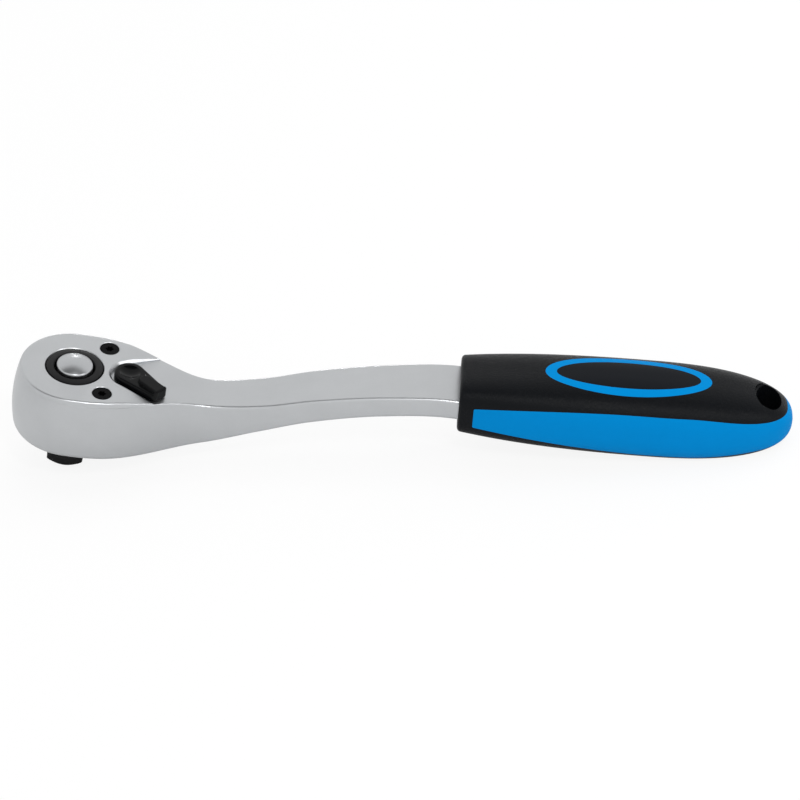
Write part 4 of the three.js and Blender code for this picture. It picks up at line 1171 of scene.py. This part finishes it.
@dataclass(frozen=True)
class InnerPiece:
    """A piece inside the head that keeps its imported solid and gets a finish."""

    node: str
    finish: Finish

    def dress(self) -> None:
        """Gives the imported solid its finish."""
        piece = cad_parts[self.node]
        piece.data.materials.clear()
        piece.data.materials.append(self.finish.material())
        LOG.info("%s keeps its solid", self.node)


INNER_PIECES = [InnerPiece("drag_ring", BLACK_RUBBER), InnerPiece("pawl", BLACK_OXIDE)]
INNER_PIECES += [InnerPiece(node, BRIGHT_STEEL) for node in (
    "thrust_washer", "lever_plunger", "lever_clip", "lever_spring", "release_spring", "release_rod")]


@dataclass(frozen=True)
class Lamp:
    """Square soft lamp, in metres and watts; a mirrored one shows in glossy surfaces."""

    name: str
    spot: Tuple[float, float, float]
    size: float
    power: float
    mirrored: bool = False

    def build(self, aim: Sequence[float]) -> None:
        """Hangs the lamp so that it looks at its aim, unseen by the camera."""
        light = bpy.data.lights.new(self.name, "AREA")
        light.size = self.size
        light.energy = self.power
        holder = bpy.data.objects.new(self.name, light)
        turn = (Vector(aim) - Vector(self.spot)).to_track_quat("-Z", "Y").to_matrix().to_4x4()
        holder.matrix_world = Matrix.Translation(self.spot) @ turn
        holder.visible_glossy = self.mirrored
        holder.visible_camera = False
        bpy.context.scene.collection.objects.link(holder)


LAMPS = [
    Lamp("lamp_overhead", (0.1, 0.15, 1.15), 1.0, 5.5),
    Lamp("lamp_front_left", (-0.7, -0.9, 0.8), 0.7, 2.5),
    Lamp("lamp_back_right", (0.9, 0.8, 0.7), 0.7, 2.5),
    Lamp("lamp_front_spark", (0.15, -0.7, 1.05), 0.15, 3.0, True),
    Lamp("lamp_right_spark", (0.84, -0.41, 0.83), 0.2, 2.0, True),
    Lamp("lamp_back_spark", (-0.08, 1.28, 0.24), 0.06, 0.6, True),
]


@dataclass
class Studio:
    """Camera, tilted pale floor, dark card, white surround and lamps.

    The camera is given in degrees, millimetres and pixels, the floor's foot in millimetres, and the
    floor's size, the card and the lamps' aim in metres.
    """

    azimuth: float = -3.957
    elevation: float = 38.38
    roll: float = 10.187
    distance: float = 1253.75
    focal_px: float = 3500.0
    frame_px: float = 800.0
    sensor: float = 36.0
    axis_px: Tuple[float, float] = (65.598, 454.137)
    floor_slope: float = 0.216
    floor_foot: float = 6.35
    floor_size: float = 6.0
    floor_colour: Colour = (0.82, 0.82, 0.82)
    floor_lift: float = 0.88
    card_low: Tuple[float, float] = (-1.5, -0.5)
    card_high: Tuple[float, float] = (1.7, 0.15)
    card_height: float = 1.2
    card_colour: Colour = (0.06, 0.06, 0.06)
    ambient: float = 0.75
    aim: Tuple[float, float, float] = (0.12, 0, 0.04)

    def camera(self) -> None:
        """Camera turned by azimuth, elevation and roll, with the origin at its pixel in the frame."""
        a, e, r = [math.radians(angle) for angle in (self.azimuth, self.elevation, self.roll)]
        back = Vector((math.sin(a) * math.cos(e), -math.cos(a) * math.cos(e), math.sin(e)))
        level = Vector((math.cos(a), math.sin(a), 0))
        upright = back.cross(level)
        right = math.cos(r) * level + math.sin(r) * upright
        up = math.cos(r) * upright - math.sin(r) * level
        per_px = self.distance / self.focal_px
        aside = (self.axis_px[0] - self.frame_px / 2) * per_px
        above = (self.frame_px / 2 - self.axis_px[1]) * per_px
        spot = (back * self.distance - right * aside - up * above) * MM
        lens = bpy.data.cameras.new("studio_camera")
        lens.sensor_width = self.sensor
        lens.lens = self.focal_px / self.frame_px * self.sensor
        holder = bpy.data.objects.new("studio_camera", lens)
        turn = Matrix((right, up, back)).transposed().to_4x4()
        holder.matrix_world = Matrix.Translation(spot) @ turn
        bpy.context.scene.collection.objects.link(holder)
        bpy.context.scene.camera = holder

    @staticmethod
    def sheet(name: str, corners: Sequence[Sequence[float]], colour: Colour, lift: float = 0.0) -> None:
        """Matt stage sheet that is seen from its front only.

        Args:
            name: the sheet's name.
            corners: its four corners in metres, anticlockwise as seen from its front.
            colour: its colour.
            lift: share of paper white that the camera sees in place of the lit colour.
        """
        mesh = bpy.data.meshes.new(name)
        mesh.from_pydata([tuple(map(float, corner)) for corner in corners], [], [(0, 1, 2, 3)])
        material, nodes = new_material(name + "_surface")
        shown = nodes.add("ShaderNodeBsdfDiffuse", {"Color": colour})
        if lift:
            path = nodes.add("ShaderNodeLightPath")
            white = nodes.add("ShaderNodeEmission", {"Color": (1, 1, 1), "Strength": 1.0})
            shown = nodes.mix(Value(nodes, path.outputs["Is Camera Ray"]) * lift, shown, white)
        side = nodes.add("ShaderNodeNewGeometry")
        clear = nodes.add("ShaderNodeBsdfTransparent")
        shown = nodes.mix(side.outputs["Backfacing"], shown, clear)
        nodes.add("ShaderNodeOutputMaterial", {"Surface": shown.outputs[0]})
        mesh.materials.append(material)
        sheet = bpy.data.objects.new(name, mesh)
        bpy.context.scene.collection.objects.link(sheet)

    def floor(self) -> None:
        """Pale sheet under the drive tip and the grip's tail that holds the shadow."""
        half = self.floor_size / 2
        corners = [(x, y, self.floor_slope * (x - self.floor_foot * MM))
                   for x, y in ((-half, -half), (half, -half), (half, half), (-half, half))]
        self.sheet("studio_floor", corners, self.floor_colour, self.floor_lift)

    def card(self) -> None:
        """Dark card above the camera's side, facing down, that shades the polished rounds."""
        (left, near), (right, far) = self.card_low, self.card_high
        corners = [(left, near), (left, far), (right, far), (right, near)]
        self.sheet("studio_card", [(x, y, self.card_height) for x, y in corners], self.card_colour)

    def surround(self) -> None:
        """White world for camera, mirror and glass rays, and a plain ambient level for the rest."""
        world = bpy.data.worlds.new("studio_surround")
        bpy.context.scene.world = world
        world.use_nodes = True
        nodes = Nodes(world.node_tree)
        path = nodes.add("ShaderNodeLightPath")
        seen = Value(nodes, path.outputs["Is Camera Ray"])
        for ray in ("Is Glossy Ray", "Is Transmission Ray"):
            seen = seen.at_least(Value(nodes, path.outputs[ray]))
        strength = seen * (1 - self.ambient) + self.ambient
        sky = nodes.add("ShaderNodeBackground", {"Color": (1, 1, 1), "Strength": strength})
        nodes.add("ShaderNodeOutputWorld", {"Surface": sky.outputs[0]})

    def build(self) -> None:
        """Sets up the whole studio."""
        bpy.context.scene.view_settings.view_transform = "Standard"
        self.camera()
        self.floor()
        self.surround()
        self.card()
        for lamp in LAMPS:
            lamp.build(self.aim)


def main() -> None:
    """Builds the ratchet's assemblies in order and the studio round them."""
    logging.basicConfig(level=logging.INFO, format="%(name)s: %(message)s")
    head = Head()
    forging = Forging(head)
    screws = CoverScrews(head)
    Studio().build()
    forging.dress(screws)
    CoverPlate(forging).dress(screws)
    screws.dress()
    DriveGear(head).dress()
    ThumbLever(head).dress()
    QuickRelease(head).dress()
    Grip(forging).dress()
    for inner in INNER_PIECES:
        inner.dress()


if __name__ == "__main__":
    main()
